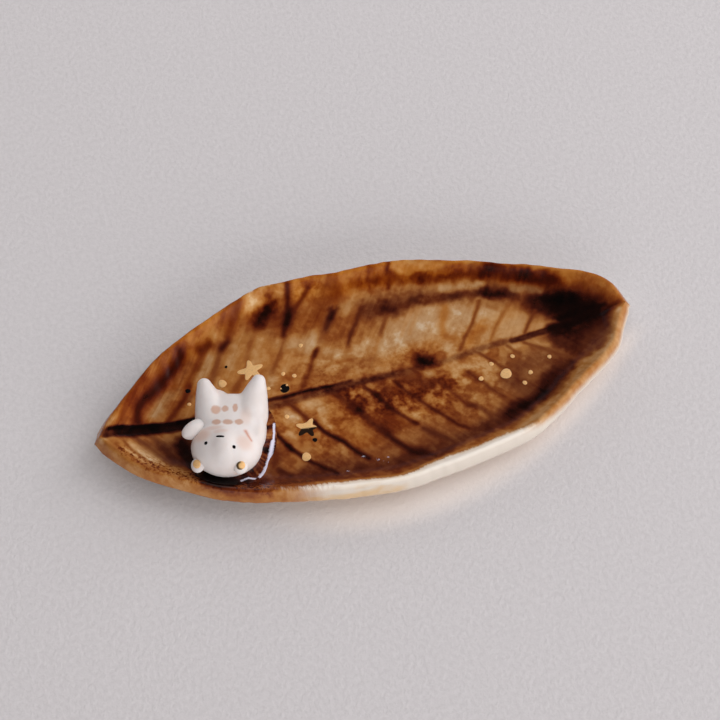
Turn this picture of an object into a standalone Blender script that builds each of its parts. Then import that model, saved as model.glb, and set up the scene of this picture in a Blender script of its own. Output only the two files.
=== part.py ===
"""Leaf dish: a shallow dish of glazed porcelain, pressed from a real leaf, with a small animal
cub lying on its back in it.

Metres, +Z up. X runs along the midrib towards the leaf's point, and the origin is on the
surface that the dish stands on, under the middle of the whole object's box.
"""

import math

import bmesh
import bpy
import numpy as np
from mathutils import Vector

# The leaf: its length along the midrib, and how far each side reaches from the midrib
LEAF_LENGTH = 0.1285
FAR_HALF_WIDTH = 0.0281
NEAR_HALF_WIDTH = 0.0298

# The rolled slab of clay, how high its rim stands, and the wall that curls up to the rim
CLAY_THICKNESS = 0.0036
RIM_HEIGHT = 0.0085
WALL_WIDTH = 0.0065
WALL_CURL = 1.6
EDGE_ROUND = 0.0008
EDGE_TILT = math.radians(27)

# Where the floor starts to climb to each end, as shares of the leaf's length from its stalk
STALK_CLIMB_SHARES = (0.19, 0.015)
STALK_CLIMB_CURL = 1.75
POINT_CLIMB_SHARES = (0.86, 0.992)
POINT_CLIMB_CURL = 1.6

# The leaf's outline on each side: (share of the length, share of that side's half width)
FAR_OUTLINE_SHARES = (
    (0.0, 0.0), (0.02, 0.15), (0.07, 0.35), (0.135, 0.55), (0.25, 0.82), (0.31, 0.93),
    (0.365, 1.0), (0.425, 1.0), (0.5, 0.965), (0.61, 0.925), (0.71, 0.80), (0.81, 0.645),
    (0.905, 0.475), (0.965, 0.32), (0.988, 0.19), (1.0, 0.0),
)
NEAR_OUTLINE_SHARES = (
    (0.0, 0.0), (0.012, 0.10), (0.053, 0.32), (0.125, 0.53), (0.2, 0.705), (0.32, 0.865),
    (0.405, 0.95), (0.5, 1.0), (0.61, 0.955), (0.745, 0.86), (0.81, 0.71), (0.88, 0.52),
    (0.95, 0.325), (0.975, 0.16), (0.99, 0.06), (1.0, 0.0),
)
OUTLINE_SAMPLES = 600

# The side veins: where each leaves the midrib, as a share of the leaf's length, and their lean
FAR_VEIN_SHARES = (
    0.046, 0.073, 0.123, 0.169, 0.222, 0.285, 0.368, 0.425, 0.494, 0.541, 0.608, 0.678,
    0.732, 0.798, 0.854,
)
NEAR_VEIN_SHARES = (
    0.035, 0.07, 0.138, 0.198, 0.263, 0.338, 0.421, 0.481, 0.531, 0.585, 0.652, 0.711,
    0.759, 0.8, 0.856,
)
VEIN_LEAN = math.radians(54)
VEIN_WIDTH = 0.0009
VEIN_DEPTH = 0.00035
VEIN_FADE_SHARE = 0.12
MIDRIB_WIDTH = 0.0020
MIDRIB_DEPTH = 0.0005

# The rays square up to the midrib over this share of the length at the stalk end
STALK_FAN_SHARE = 0.062

# How finely the dish is drawn, and the angle above which an edge of it is crisp
CRISP_ANGLE = math.radians(40)
SEARCH_STEPS = 40
PROBE_SHARE = 0.25
MERGE_SHARE = 0.01
FACE_LEAN_MIN_SHARE = 0.5
ROW_STEP_MAX = 0.0024
ROW_STEP_MIN = 0.00022
FLOOR_COLUMNS = 4
WALL_COLUMNS = 4
WALL_RUN_SHARE_MAX = 0.7
EDGE_STEPS = 2
FOOT_SNAP = 0.00025

# The clearance that is kept between two pieces that touch
JOIN_GAP = 0.0003

# The figure: where its head lies in the leaf, as shares of the length and near half width
FIGURE_PLACE_SHARES = (0.211, -0.389)
FIGURE_TURN = math.radians(-16.5)

# The head's width, which every other size of the figure is a share of
HEAD_WIDTH = 0.0164


def head_shares(*shares):
    """Sizes given as shares of the head's width."""
    sizes = tuple(share * HEAD_WIDTH for share in shares)
    return sizes if len(sizes) > 1 else sizes[0]


# The head, a ball flattened from front to back and at the neck, with a soft muzzle
HEAD_SIZE = head_shares(1.0, 0.854, 0.72)
NECK_SHARE = 0.62
MUZZLE_RISE = head_shares(0.043)
MUZZLE_REACH = head_shares(0.28)
MUZZLE_PLACE_SHARES = (-0.14, 0.02, 0.98)

# The torso, lying on its back against the head
TORSO_SIZE = head_shares(0.963, 0.854, 0.634)
TORSO_PLACE = head_shares(0.055, 0.39)
TORSO_FULLNESS_SHARE = 0.72
TORSO_TAPER_SHARE = 0.06

# The legs, cones raised from the hips: from the middle of the hip to the middle of the tip
LEG_LENGTH = head_shares(0.549)
LEG_ROOT_RADIUS = head_shares(0.213)
LEG_TIP_RADIUS = head_shares(0.098)
LEG_FLARE_CURL = 0.9
HIP_HEIGHT = head_shares(0.341)
LEFT_HIP_SHARES = (-0.608, 0.0)
RIGHT_HIP_SHARES = (0.532, 0.143)
LEFT_LEG_AIM = (math.radians(102.4), math.radians(23))
RIGHT_LEG_AIM = (math.radians(76.4), math.radians(23))

# The arms, small paddles at the shoulders: length, width
ARM_SIZE = head_shares(0.354, 0.207)
LEFT_ARM_SHARES = (-0.94, 0.60, 0.14)
LEFT_ARM_AIM = (math.radians(212), math.radians(8))
RIGHT_ARM_SHARES = (0.93, 0.51, 0.51)
RIGHT_ARM_AIM = (math.radians(262), math.radians(10))

# The ears, flattened beads on the crown: across, outwards, thick
EAR_SIZE = head_shares(0.207, 0.207, 0.134)
LEFT_EAR_SHARES = (-0.78, -0.68, 0.06)
RIGHT_EAR_SHARES = (0.42, -0.82, 0.28)
EAR_LEAN = math.radians(35)

# How finely the figure's forms are drawn: round and along
HEAD_FACETS = (28, 18)
TORSO_FACETS = (26, 16)
LEG_FACETS = (18, 12)
ARM_FACETS = (16, 10)
EAR_FACETS = (14, 9)
SEAT_COLUMNS = 26


def clear_scene():
    """Remove whatever the scene holds."""
    for item in list(bpy.data.objects):
        bpy.data.objects.remove(item, do_unlink=True)


def finish(name, colour, roughness, metallic=0.0):
    """A plain surface finish for one piece."""
    material = bpy.data.materials.new(name)
    material.use_nodes = True
    surface = material.node_tree.nodes["Principled BSDF"]
    surface.inputs["Base Color"].default_value = (*colour, 1.0)
    surface.inputs["Roughness"].default_value = roughness
    surface.inputs["Metallic"].default_value = metallic
    return material


def add_object(name, mesh_data, parent=None):
    """Place a mesh in the scene under a name."""
    item = bpy.data.objects.new(name, mesh_data)
    item.parent = parent
    bpy.context.scene.collection.objects.link(item)
    return item


def mesh_from(name, builder):
    """Turn a bmesh into a mesh, and free it."""
    mesh_data = bpy.data.meshes.new(name)
    builder.to_mesh(mesh_data)
    builder.free()
    return mesh_data


class Outline:
    """One side of the leaf: its half width, and the outline's slope, along the midrib."""

    def __init__(self, shares, half_width):
        along = np.array([point[0] for point in shares])
        out = np.array([point[1] for point in shares])
        steps = np.diff(along)
        rises = np.diff(out) / steps
        same_way = rises[:-1] * rises[1:] > 0
        pair_sum = np.where(same_way, rises[:-1] + rises[1:], 1.0)
        inner = np.where(same_way, 2 * rises[:-1] * rises[1:] / pair_sum, 0.0)
        tangents = np.concatenate(([rises[0]], inner, [rises[-1]]))
        spots = np.linspace(0, 1, OUTLINE_SAMPLES)
        span = np.clip(np.searchsorted(along, spots) - 1, 0, len(steps) - 1)
        part = (spots - along[span]) / steps[span]
        value = (
            out[span] * (2 * part**3 - 3 * part**2 + 1)
            + out[span + 1] * (3 * part**2 - 2 * part**3)
            + steps[span] * tangents[span] * (part**3 - 2 * part**2 + part)
            + steps[span] * tangents[span + 1] * (part**3 - part**2)
        )
        self.places = (spots - 0.5) * LEAF_LENGTH
        self.widths = value * half_width
        self.slopes = np.gradient(self.widths, self.places)

    def width(self, x):
        """How far this side reaches from the midrib at x."""
        return float(np.interp(x, self.places, self.widths))

    def slope(self, x):
        """How fast the outline widens at x."""
        return float(np.interp(x, self.places, self.slopes))


FAR_SIDE = Outline(FAR_OUTLINE_SHARES, FAR_HALF_WIDTH)
NEAR_SIDE = Outline(NEAR_OUTLINE_SHARES, NEAR_HALF_WIDTH)


def along_leaf(share):
    """The x of a share of the leaf's length, counted from the stalk."""
    return (share - 0.5) * LEAF_LENGTH


def side_at(y):
    """The outline on the side of the midrib that y is on."""
    return FAR_SIDE if y >= 0 else NEAR_SIDE


def floor_height(x):
    """The height of the dish's floor beside the midrib at x, climbing to both ends."""
    share = x / LEAF_LENGTH + 0.5
    stalk = (STALK_CLIMB_SHARES[0] - share) / (STALK_CLIMB_SHARES[0] - STALK_CLIMB_SHARES[1])
    point = (share - POINT_CLIMB_SHARES[0]) / (POINT_CLIMB_SHARES[1] - POINT_CLIMB_SHARES[0])
    climb = min(max(stalk, 0.0), 1.0) ** STALK_CLIMB_CURL
    climb = max(climb, min(max(point, 0.0), 1.0) ** POINT_CLIMB_CURL)
    return CLAY_THICKNESS + (RIM_HEIGHT - CLAY_THICKNESS) * climb


def smooth_height(x, y):
    """The height of the dish's upper surface at x, y, without its veins."""
    side = side_at(y)
    inset = (side.width(x) - abs(y)) / math.hypot(1.0, side.slope(x))
    rise = min(max(1.0 - inset / WALL_WIDTH, 0.0), 1.0) ** WALL_CURL
    floor = floor_height(x)
    return floor + (RIM_HEIGHT - floor) * rise


def surface_normal(x, y, inward):
    """The upward normal of the upper surface, measured a little inside the outline."""
    probe = EDGE_ROUND * PROBE_SHARE
    x = x + inward[0] * probe * 2
    y = y + inward[1] * probe * 2
    slope_x = (smooth_height(x + probe, y) - smooth_height(x - probe, y)) / (2 * probe)
    slope_y = (smooth_height(x, y + probe) - smooth_height(x, y - probe)) / (2 * probe)
    return Vector((-slope_x, -slope_y, 1.0)).normalized()


def ray_lean(root):
    """The angle between the midrib and the row that leaves it at this x."""
    share = (root / LEAF_LENGTH + 0.5) / STALK_FAN_SHARE
    square = 1.0 - min(max(share, 0.0), 1.0)
    return VEIN_LEAN + (math.pi / 2 - VEIN_LEAN) * square * square


def ray_to_rim(root, way):
    """The direction of a row on one side, and how far it runs from the midrib to the rim."""
    lean = ray_lean(root)
    heading = Vector((math.cos(lean), way * math.sin(lean)))
    side = side_at(way)
    short, long = 0.0, LEAF_LENGTH
    for _ in range(SEARCH_STEPS):
        middle = (short + long) / 2
        inside = side.width(root + heading.x * middle) > abs(heading.y * middle)
        short, long = (middle, long) if inside else (short, middle)
    return heading, short


def row_roots():
    """Where the rows of the dish's mesh leave the midrib: close together at the veins."""
    half = VEIN_WIDTH / 2 / math.sin(VEIN_LEAN)
    roots = [along_leaf(share) for share in FAR_VEIN_SHARES + NEAR_VEIN_SHARES]
    marks = sorted(root + step for root in roots for step in (-half, 0.0, half))
    marks = [mark for mark in marks if abs(mark) < LEAF_LENGTH / 2 - ROW_STEP_MIN] + [LEAF_LENGTH / 2]
    rows = [-LEAF_LENGTH / 2]
    for mark in marks:
        gap = mark - rows[-1]
        if gap < ROW_STEP_MIN:
            continue
        pieces = math.ceil(gap / ROW_STEP_MAX)
        start = rows[-1]
        rows.extend(start + gap * (step + 1) / pieces for step in range(pieces))
    return rows


def vein_depth(root, way, share):
    """How deep the veins are pressed at a share of the way along a row."""
    shares = FAR_VEIN_SHARES if way > 0 else NEAR_VEIN_SHARES
    half = VEIN_WIDTH / 2 / math.sin(VEIN_LEAN)
    nearness = max(1.0 - abs(root - along_leaf(vein)) / half for vein in shares)
    fade = min((1.0 - share) / VEIN_FADE_SHARE, 1.0)
    return VEIN_DEPTH * max(nearness, 0.0) * fade


def column_runs(reach, lean):
    """Distances along a row of the mesh's columns, from beside the midrib to the rim."""
    start = min(MIDRIB_WIDTH / 2 / math.sin(lean), reach / (FLOOR_COLUMNS + WALL_COLUMNS))
    wall = min(WALL_WIDTH / math.sin(lean), reach * WALL_RUN_SHARE_MAX)
    foot = max(reach - wall, start)
    floor = [start + (foot - start) * step / FLOOR_COLUMNS for step in range(FLOOR_COLUMNS)]
    wall = [foot + (reach - foot) * step / WALL_COLUMNS for step in range(WALL_COLUMNS)]
    return floor + wall


def half_section(root, way):
    """One side of a row: upper surface, cut edge and underside, from midrib to foot."""
    heading, reach = ray_to_rim(root, way)
    side = side_at(way)
    rim = Vector((root + heading.x * reach, heading.y * reach))
    outward = Vector((-side.slope(rim.x), way)).normalized()
    if reach < EDGE_ROUND:
        outward = Vector((math.copysign(1.0, root), 0.0))
    inward = -outward
    upper, lower = [], []
    for run in column_runs(reach, ray_lean(root)):
        x, y = root + heading.x * run, heading.y * run
        height = smooth_height(x, y or way * ROW_STEP_MIN)
        normal = surface_normal(x, y, inward)
        share = run / reach if reach > 0 else 1.0
        upper.append(Vector((x, y, height - vein_depth(root, way, share))))
        under = Vector((x, y, height)) - normal * CLAY_THICKNESS
        under.z = under.z if under.z > FOOT_SNAP else 0.0
        lower.append(under)
    edge = cut_edge(rim, outward, surface_normal(rim.x, rim.y, inward))
    keel = Vector((root, 0.0, smooth_height(root, 0.0) - MIDRIB_DEPTH))
    return keel, upper + edge + lower[:FLOOR_COLUMNS - 1:-1]


def cut_edge(rim, outward, normal):
    """The cut edge of the slab at the rim, with both corners rounded."""
    across = Vector((outward.x, outward.y, 0.0))
    face = (across * math.sin(EDGE_TILT) - Vector((0, 0, math.cos(EDGE_TILT)))).normalized()
    slab = across.cross(Vector((0, 0, 1))).cross(normal).normalized()
    slab = slab if slab.dot(across) > 0 else -slab
    depth = CLAY_THICKNESS / max(-face.dot(normal), FACE_LEAN_MIN_SHARE)
    top = Vector((rim.x, rim.y, RIM_HEIGHT)) + across * EDGE_ROUND / 2
    points = []
    for corner, arm_in, arm_out in (
        (top, -slab, face),
        (top + face * depth, -face, -slab),
    ):
        for step in range(EDGE_STEPS + 1):
            turn = step / EDGE_STEPS
            start = corner + arm_in * EDGE_ROUND
            end = corner + arm_out * EDGE_ROUND
            points.append(start * (1 - turn) ** 2 + corner * 2 * turn * (1 - turn) + end * turn**2)
    return points


def dish_rings():
    """Every row of the dish as a closed ring of points, far side then near side."""
    rings = []
    for root in row_roots():
        keel, far = half_section(root, 1)
        _, near = half_section(root, -1)
        rings.append([keel] + far + near[::-1])
    return rings


def make_dish(base):
    """The pressed slab: rings of points joined row to row into one closed body."""
    builder = bmesh.new()
    rings = [[builder.verts.new(point) for point in ring] for ring in dish_rings()]
    count = len(rings[0])
    for ring, after in zip(rings, rings[1:]):
        for index in range(count):
            following = (index + 1) % count
            builder.faces.new((ring[index], ring[following], after[following], after[index]))
    bmesh.ops.remove_doubles(builder, verts=builder.verts, dist=ROW_STEP_MIN * MERGE_SHARE)
    bmesh.ops.recalc_face_normals(builder, faces=builder.faces)
    dish = add_object("leaf_dish", mesh_from("leaf_dish", builder), base)
    dish.data.shade_smooth()
    dish.data.set_sharp_from_angle(angle=CRISP_ANGLE)
    dish.data.materials.append(finish("brown_glaze", (0.23, 0.09, 0.025), 0.12))
    return dish


def ball(name, size, facets, parent, grow=0.0, taper=0.0, fullness=1.0):
    """A ball stretched to a size in three directions; a fullness below 1 fills its corners."""
    builder = bmesh.new()
    bmesh.ops.create_uvsphere(builder, u_segments=facets[0], v_segments=facets[1], radius=1.0)
    for vert in builder.verts:
        vert.co = Vector([math.copysign(abs(part) ** fullness, part) for part in vert.co])
        swell = 1.0 + taper * vert.co.y
        vert.co = Vector((
            vert.co.x * swell * (size[0] / 2 + grow),
            vert.co.y * (size[1] / 2 + grow),
            vert.co.z * swell * (size[2] / 2 + grow),
        ))
    return add_object(name, mesh_from(name, builder), parent)


def leg_radius(along, grow):
    """A leg's radius at a distance from its hip: round at both ends, flared to the hip."""
    share = min(max(along / LEG_LENGTH, 0.0), 1.0)
    radius = LEG_TIP_RADIUS + (LEG_ROOT_RADIUS - LEG_TIP_RADIUS) * (1.0 - share) ** LEG_FLARE_CURL
    tip = (along - LEG_LENGTH) / LEG_TIP_RADIUS
    hip = 1.0 - along / LEG_ROOT_RADIUS
    past = max(tip, hip, 0.0)
    return (radius + grow) * math.sqrt(max(1.0 - past * past, 0.0))


def turned_leg(name, parent, grow=0.0):
    """A leg lying along +Y from its hip, turned from its profile."""
    builder = bmesh.new()
    around, steps = LEG_FACETS
    turns = [2 * math.pi * step / around for step in range(around)]
    low, high = 0.0, LEG_LENGTH + LEG_TIP_RADIUS
    middle, half = (low + high) / 2, (high - low) / 2
    root = builder.verts.new((0.0, low - grow, 0.0))
    ring = None
    for step in range(1, steps):
        along = middle - half * math.cos(math.pi * step / steps)
        radius = leg_radius(along, grow)
        row = [
            builder.verts.new((radius * math.cos(turn), along, radius * math.sin(turn)))
            for turn in turns
        ]
        for index in range(around):
            after = (index + 1) % around
            if ring:
                builder.faces.new((ring[index], ring[after], row[after], row[index]))
            else:
                builder.faces.new((root, row[after], row[index]))
        ring = row
    tip = builder.verts.new((0.0, high + grow, 0.0))
    for index in range(around):
        builder.faces.new((tip, ring[index], ring[(index + 1) % around]))
    bmesh.ops.recalc_face_normals(builder, faces=builder.faces)
    return add_object(name, mesh_from(name, builder), parent)


def cut(piece, cutter):
    """Cut a piece by a guide, which stays in the scene out of sight."""
    cutter.hide_render = True
    cutter.display_type = "WIRE"
    step = piece.modifiers.new(cutter.name, "BOOLEAN")
    step.operation = "DIFFERENCE"
    step.solver = "EXACT"
    step.object = cutter


def dress(piece, name, colour):
    """Shade a white piece smooth and give it its own finish."""
    piece.data.shade_smooth()
    piece.data.materials.append(finish(name, colour, 0.35))


def aim(piece, heading):
    """Point a piece's +Y along a heading and a climb."""
    turn, climb = heading
    piece.rotation_euler = (climb, 0.0, turn - math.pi / 2)


def make_seat(base):
    """The dish's smooth surface under the figure, raised by the join gap: a guide to cut by."""
    builder = bmesh.new()
    half = (HEAD_SIZE[1] + TORSO_SIZE[1] + LEG_LENGTH) / 2
    bmesh.ops.create_grid(builder, x_segments=SEAT_COLUMNS, y_segments=SEAT_COLUMNS, size=half)
    place = figure_place()
    shift = Vector((place.x, place.y + TORSO_PLACE[1], 0.0))
    bmesh.ops.translate(builder, verts=builder.verts, vec=shift)
    below = bmesh.ops.extrude_face_region(builder, geom=builder.faces[:])
    low = {item for item in below["geom"] if isinstance(item, bmesh.types.BMVert)}
    for vert in builder.verts:
        height = smooth_height(vert.co.x, vert.co.y) + JOIN_GAP
        vert.co.z = -RIM_HEIGHT if vert in low else height
    bmesh.ops.recalc_face_normals(builder, faces=builder.faces)
    return add_object("seat_guide", mesh_from("seat_guide", builder), base)


def figure_place():
    """Where the figure's head lies in plan, at the height of the dish's floor."""
    along, across = FIGURE_PLACE_SHARES
    return Vector((along_leaf(along), across * NEAR_HALF_WIDTH, CLAY_THICKNESS))


def make_frame(base):
    """The empty that carries the figure, turned to the way it lies."""
    frame = add_object("figure_frame", None, base)
    frame.location = figure_place()
    frame.rotation_euler.z = FIGURE_TURN
    return frame


def shape_head(head):
    """Flatten the ball towards the neck, and push a soft muzzle out of its face."""
    half = Vector(HEAD_SIZE) / 2
    nose = Vector((share * size for share, size in zip(MUZZLE_PLACE_SHARES, half)))
    for vert in head.data.vertices:
        vert.co.y *= NECK_SHARE if vert.co.y > 0 else 1.0
        reach = (vert.co - nose).length / MUZZLE_REACH
        lift = max(1.0 - reach * reach, 0.0) ** 2
        vert.co.z += MUZZLE_RISE * lift


def head_centre():
    """The middle of the head in the figure's frame."""
    return Vector((0.0, 0.0, HEAD_SIZE[2] / 2))


def torso_centre():
    """The middle of the torso in the figure's frame."""
    return Vector((*TORSO_PLACE, TORSO_SIZE[2] / 2))


def on_form(centre, size, shares):
    """A place at shares of a form's half sizes from its middle."""
    return centre + Vector(share * whole / 2 for share, whole in zip(shares, size))


def make_head(frame, seat):
    """The head and the guide that cuts what is joined to it."""
    head = ball("figure_head", HEAD_SIZE, HEAD_FACETS, frame)
    shape_head(head)
    guide = ball("head_guide", HEAD_SIZE, HEAD_FACETS, frame, grow=JOIN_GAP)
    shape_head(guide)
    for piece in (head, guide):
        piece.location = head_centre()
    cut(head, seat)
    dress(head, "white_porcelain_head", (0.80, 0.76, 0.74))
    return guide


def make_torso(frame, seat, head_guide):
    """The torso, cut by the head, and the guide that cuts the limbs."""
    shape = {"taper": TORSO_TAPER_SHARE, "fullness": TORSO_FULLNESS_SHARE}
    torso = ball("figure_torso", TORSO_SIZE, TORSO_FACETS, frame, **shape)
    guide = ball("torso_guide", TORSO_SIZE, TORSO_FACETS, frame, grow=JOIN_GAP, **shape)
    for piece in (torso, guide):
        piece.location = torso_centre()
    cut(torso, seat)
    cut(torso, head_guide)
    dress(torso, "white_porcelain_torso", (0.79, 0.75, 0.74))
    return guide


def make_leg(name, hip_shares, heading, frame, guides):
    """One leg, cut by what it is joined to, and the guide that cuts the arms."""
    hip = on_form(torso_centre(), TORSO_SIZE, (*hip_shares, 0.0))
    hip.z = HIP_HEIGHT
    leg = turned_leg(name, frame)
    guide = turned_leg(name + "_guide", frame, grow=JOIN_GAP)
    for piece in (leg, guide):
        piece.location = hip
        aim(piece, heading)
    for other in guides:
        cut(leg, other)
    dress(leg, "white_porcelain_" + name, (0.80, 0.77, 0.76))
    return guide


def make_arm(name, shares, heading, frame, guides):
    """One arm, a paddle laid at the shoulder."""
    length, width = ARM_SIZE
    arm = ball(name, (width, length, width), ARM_FACETS, frame, taper=-TORSO_TAPER_SHARE)
    arm.location = on_form(head_centre(), HEAD_SIZE, shares)
    aim(arm, heading)
    for other in guides:
        cut(arm, other)
    dress(arm, "white_porcelain_" + name, (0.81, 0.77, 0.75))


def make_ear(name, shares, frame, guides):
    """One ear, a flattened bead set on the crown."""
    ear = ball(name, EAR_SIZE, EAR_FACETS, frame)
    place = on_form(Vector(), HEAD_SIZE, shares)
    ear.location = head_centre() + place
    ear.rotation_euler = (EAR_LEAN, 0.0, math.atan2(place.y, place.x) + math.pi / 2)
    for other in guides:
        cut(ear, other)
    dress(ear, "white_porcelain_" + name, (0.82, 0.78, 0.75))


def make_figure(base):
    """The cub: head, torso, two legs, two arms and two ears, each clear of the others."""
    frame = make_frame(base)
    seat = make_seat(base)
    head = make_head(frame, seat)
    torso = make_torso(frame, seat, head)
    left_leg = make_leg("left_leg", LEFT_HIP_SHARES, LEFT_LEG_AIM, frame, (seat, torso, head))
    right_leg = make_leg("right_leg", RIGHT_HIP_SHARES, RIGHT_LEG_AIM, frame, (seat, torso, head))
    body = (seat, head, torso)
    make_arm("left_arm", LEFT_ARM_SHARES, LEFT_ARM_AIM, frame, body + (left_leg,))
    make_arm("right_arm", RIGHT_ARM_SHARES, RIGHT_ARM_AIM, frame, body + (right_leg,))
    make_ear("left_ear", LEFT_EAR_SHARES, frame, (seat, head))
    make_ear("right_ear", RIGHT_EAR_SHARES, frame, (seat, head))


def centre_on(dish, base):
    """Slide everything in plan until the middle of the dish stands on the origin."""
    spots = [vert.co for vert in dish.data.vertices]
    for axis in (0, 1):
        reach = [spot[axis] for spot in spots]
        base.location[axis] = -(min(reach) + max(reach)) / 2


def main():
    """Build the dish, then the figure in it, on one empty that sets them on the origin."""
    clear_scene()
    base = add_object("dish_base", None)
    dish = make_dish(base)
    make_figure(base)
    centre_on(dish, base)


main()
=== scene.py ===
"""Looks for the leaf dish: a pressed porcelain leaf under pooled brown glaze, with a small white
cub lying on its back in it and a scatter of gold lustre stars and dots.

Sizes of the pieces are in millimetres in the leaf's own plan, where the midrib is y = 0 and x
runs to the leaf's point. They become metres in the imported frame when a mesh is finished.
"""

from __future__ import annotations

import logging
import math
from collections.abc import Callable
from dataclasses import dataclass, field
from enum import Enum

import bpy
import numpy as np
from mathutils import Matrix, Vector, noise
from mathutils.bvhtree import BVHTree

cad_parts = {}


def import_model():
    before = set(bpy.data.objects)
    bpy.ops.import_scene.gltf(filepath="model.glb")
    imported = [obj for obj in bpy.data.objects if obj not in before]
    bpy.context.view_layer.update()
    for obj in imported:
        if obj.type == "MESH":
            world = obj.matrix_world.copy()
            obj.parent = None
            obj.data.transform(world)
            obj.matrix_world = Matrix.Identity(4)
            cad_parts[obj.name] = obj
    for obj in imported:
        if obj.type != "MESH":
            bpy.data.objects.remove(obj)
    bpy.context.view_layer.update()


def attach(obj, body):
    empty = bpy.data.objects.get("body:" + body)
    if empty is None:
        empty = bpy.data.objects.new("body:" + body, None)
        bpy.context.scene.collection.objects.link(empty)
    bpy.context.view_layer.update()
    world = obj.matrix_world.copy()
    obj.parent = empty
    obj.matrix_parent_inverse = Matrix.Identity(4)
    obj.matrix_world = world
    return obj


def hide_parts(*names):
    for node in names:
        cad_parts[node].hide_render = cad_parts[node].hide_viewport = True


LOG = logging.getLogger("leaf_dish")

Piece = bpy.types.Object
Material = bpy.types.Material
Socket = bpy.types.NodeSocket
Tree = bpy.types.NodeTree
Array = np.ndarray
Pair = tuple[float, float]
Triple = tuple[float, float, float]
Colour = tuple[float, float, float, float]
Pairs = tuple[Pair, ...]
Strip = tuple[tuple[float, Colour], ...]

MM = 0.001
BODY = "root"
PLAN_SHIFT = Vector((0.0, 0.85, 0.0))
LEAF_LENGTH = 128.5
FLOW_MAP = "vein_flow"
CAST_HEIGHT = 40.0
DOWN = Vector((0.0, 0.0, -1.0))


class Slot(Enum):
    """The record's material slots."""

    GLAZE = "brown_glaze"
    PORCELAIN = "white_porcelain"
    GOLD = "gold_lustre"
    ENAMEL = "black_enamel"


def srgb(red: float, green: float, blue: float) -> Colour:
    """Turn a colour as the eye reads it, 0 to 255, into the linear values that shaders take.

    Args:
        red: Red, 0 to 255.
        green: Green, 0 to 255.
        blue: Blue, 0 to 255.

    Returns:
        Linear red, green, blue and a full alpha.
    """
    parts = [channel / 255 for channel in (red, green, blue)]
    linear = [((part + 0.055) / 1.055) ** 2.4 if part > 0.04045 else part / 12.92 for part in parts]
    return (linear[0], linear[1], linear[2], 1.0)


def smoothstep(low: float, high: float, value: Array) -> Array:
    """A soft step from 0 at low to 1 at high."""
    part = np.clip((value - low) / (high - low), 0.0, 1.0)
    return part * part * (3 - 2 * part)


# ---------------------------------------------------------------- mesh helpers


def only(*pieces: Piece) -> None:
    """Deselect all, then select these pieces and make the first one active."""
    bpy.ops.object.select_all(action="DESELECT")
    for piece in pieces:
        piece.select_set(True)
    bpy.context.view_layer.objects.active = pieces[0]


def in_edit(piece: Piece, *steps: Callable[[], object]) -> None:
    """Run edit-mode steps on all of a piece.

    Args:
        piece: The mesh to work on.
        steps: Calls without arguments, each a bpy.ops step.
    """
    only(piece)
    bpy.ops.object.mode_set(mode="EDIT")
    bpy.ops.mesh.select_all(action="SELECT")
    for step in steps:
        step()
    bpy.ops.object.mode_set(mode="OBJECT")


def close_up(piece: Piece, gap: float = 0.002) -> None:
    """Merge doubled vertices and turn every face outwards.

    Args:
        piece: The mesh.
        gap: How close doubles lie, in millimetres.
    """
    in_edit(
        piece,
        lambda: bpy.ops.mesh.remove_doubles(threshold=gap * MM),
        lambda: bpy.ops.mesh.normals_make_consistent(inside=False),
    )


def take_modifier(piece: Piece, kind: str, **settings: float | str) -> None:
    """Add a modifier to a piece and apply it.

    Args:
        piece: The mesh that gets it.
        kind: Blender's name for the modifier type.
        settings: The modifier's properties.
    """
    only(piece)
    step = piece.modifiers.new(kind.lower(), kind)
    for name, value in settings.items():
        setattr(step, name, value)
    bpy.ops.object.modifier_apply(modifier=step.name)


def positions(piece: Piece) -> Array:
    """A piece's vertex places as an array of rows."""
    flat = np.empty(len(piece.data.vertices) * 3, np.float32)
    piece.data.vertices.foreach_get("co", flat)
    return flat.reshape(-1, 3).astype(float)


def set_positions(piece: Piece, places: Array) -> None:
    """Write an array of rows back as a piece's vertex places."""
    piece.data.vertices.foreach_set("co", places.astype(np.float32).ravel())
    piece.data.update()


def paint(piece: Piece, name: str, values: Array) -> None:
    """Keep one painted value per vertex as a named attribute."""
    layer = piece.data.attributes.get(name) or piece.data.attributes.new(name, "FLOAT", "POINT")
    layer.data.foreach_set("value", values.astype(np.float32).ravel())


def lay_flow(piece: Piece, flow: Array) -> None:
    """Write a piece's UV map from one pair of coordinates per vertex.

    Args:
        piece: The mesh, with the UV map that its primitive came with.
        flow: How far across the veins and along them each vertex lies, in millimetres.
    """
    layer = piece.data.uv_layers[0]
    layer.name = FLOW_MAP
    corners = np.empty(len(piece.data.loops), np.int32)
    piece.data.loops.foreach_get("vertex_index", corners)
    layer.data.foreach_set("uv", flow.astype(np.float32)[corners].ravel())


def rename(piece: Piece, name: str) -> Piece:
    """Give a piece and its mesh the same name."""
    piece.name = name
    piece.data.name = name
    return piece


def join(name: str, pieces: list[Piece]) -> Piece:
    """Join pieces into the first of them and rename it."""
    only(*pieces)
    if len(pieces) > 1:
        bpy.ops.object.join()
    return rename(pieces[0], name)


def primitive_ball(name: str, segments: int, rings: int) -> Piece:
    """A ball of radius 1 at the origin, ready to be shaped."""
    bpy.ops.object.select_all(action="DESELECT")
    bpy.ops.mesh.primitive_uv_sphere_add(segments=segments, ring_count=rings, radius=1.0)
    return rename(bpy.context.object, name)


def primitive_grid(name: str, columns: int, rows: int) -> Piece:
    """A flat grid from -1 to 1 at the origin, ready to be shaped."""
    bpy.ops.object.select_all(action="DESELECT")
    bpy.ops.mesh.primitive_grid_add(x_subdivisions=columns, y_subdivisions=rows, size=2)
    return rename(bpy.context.object, name)


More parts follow.
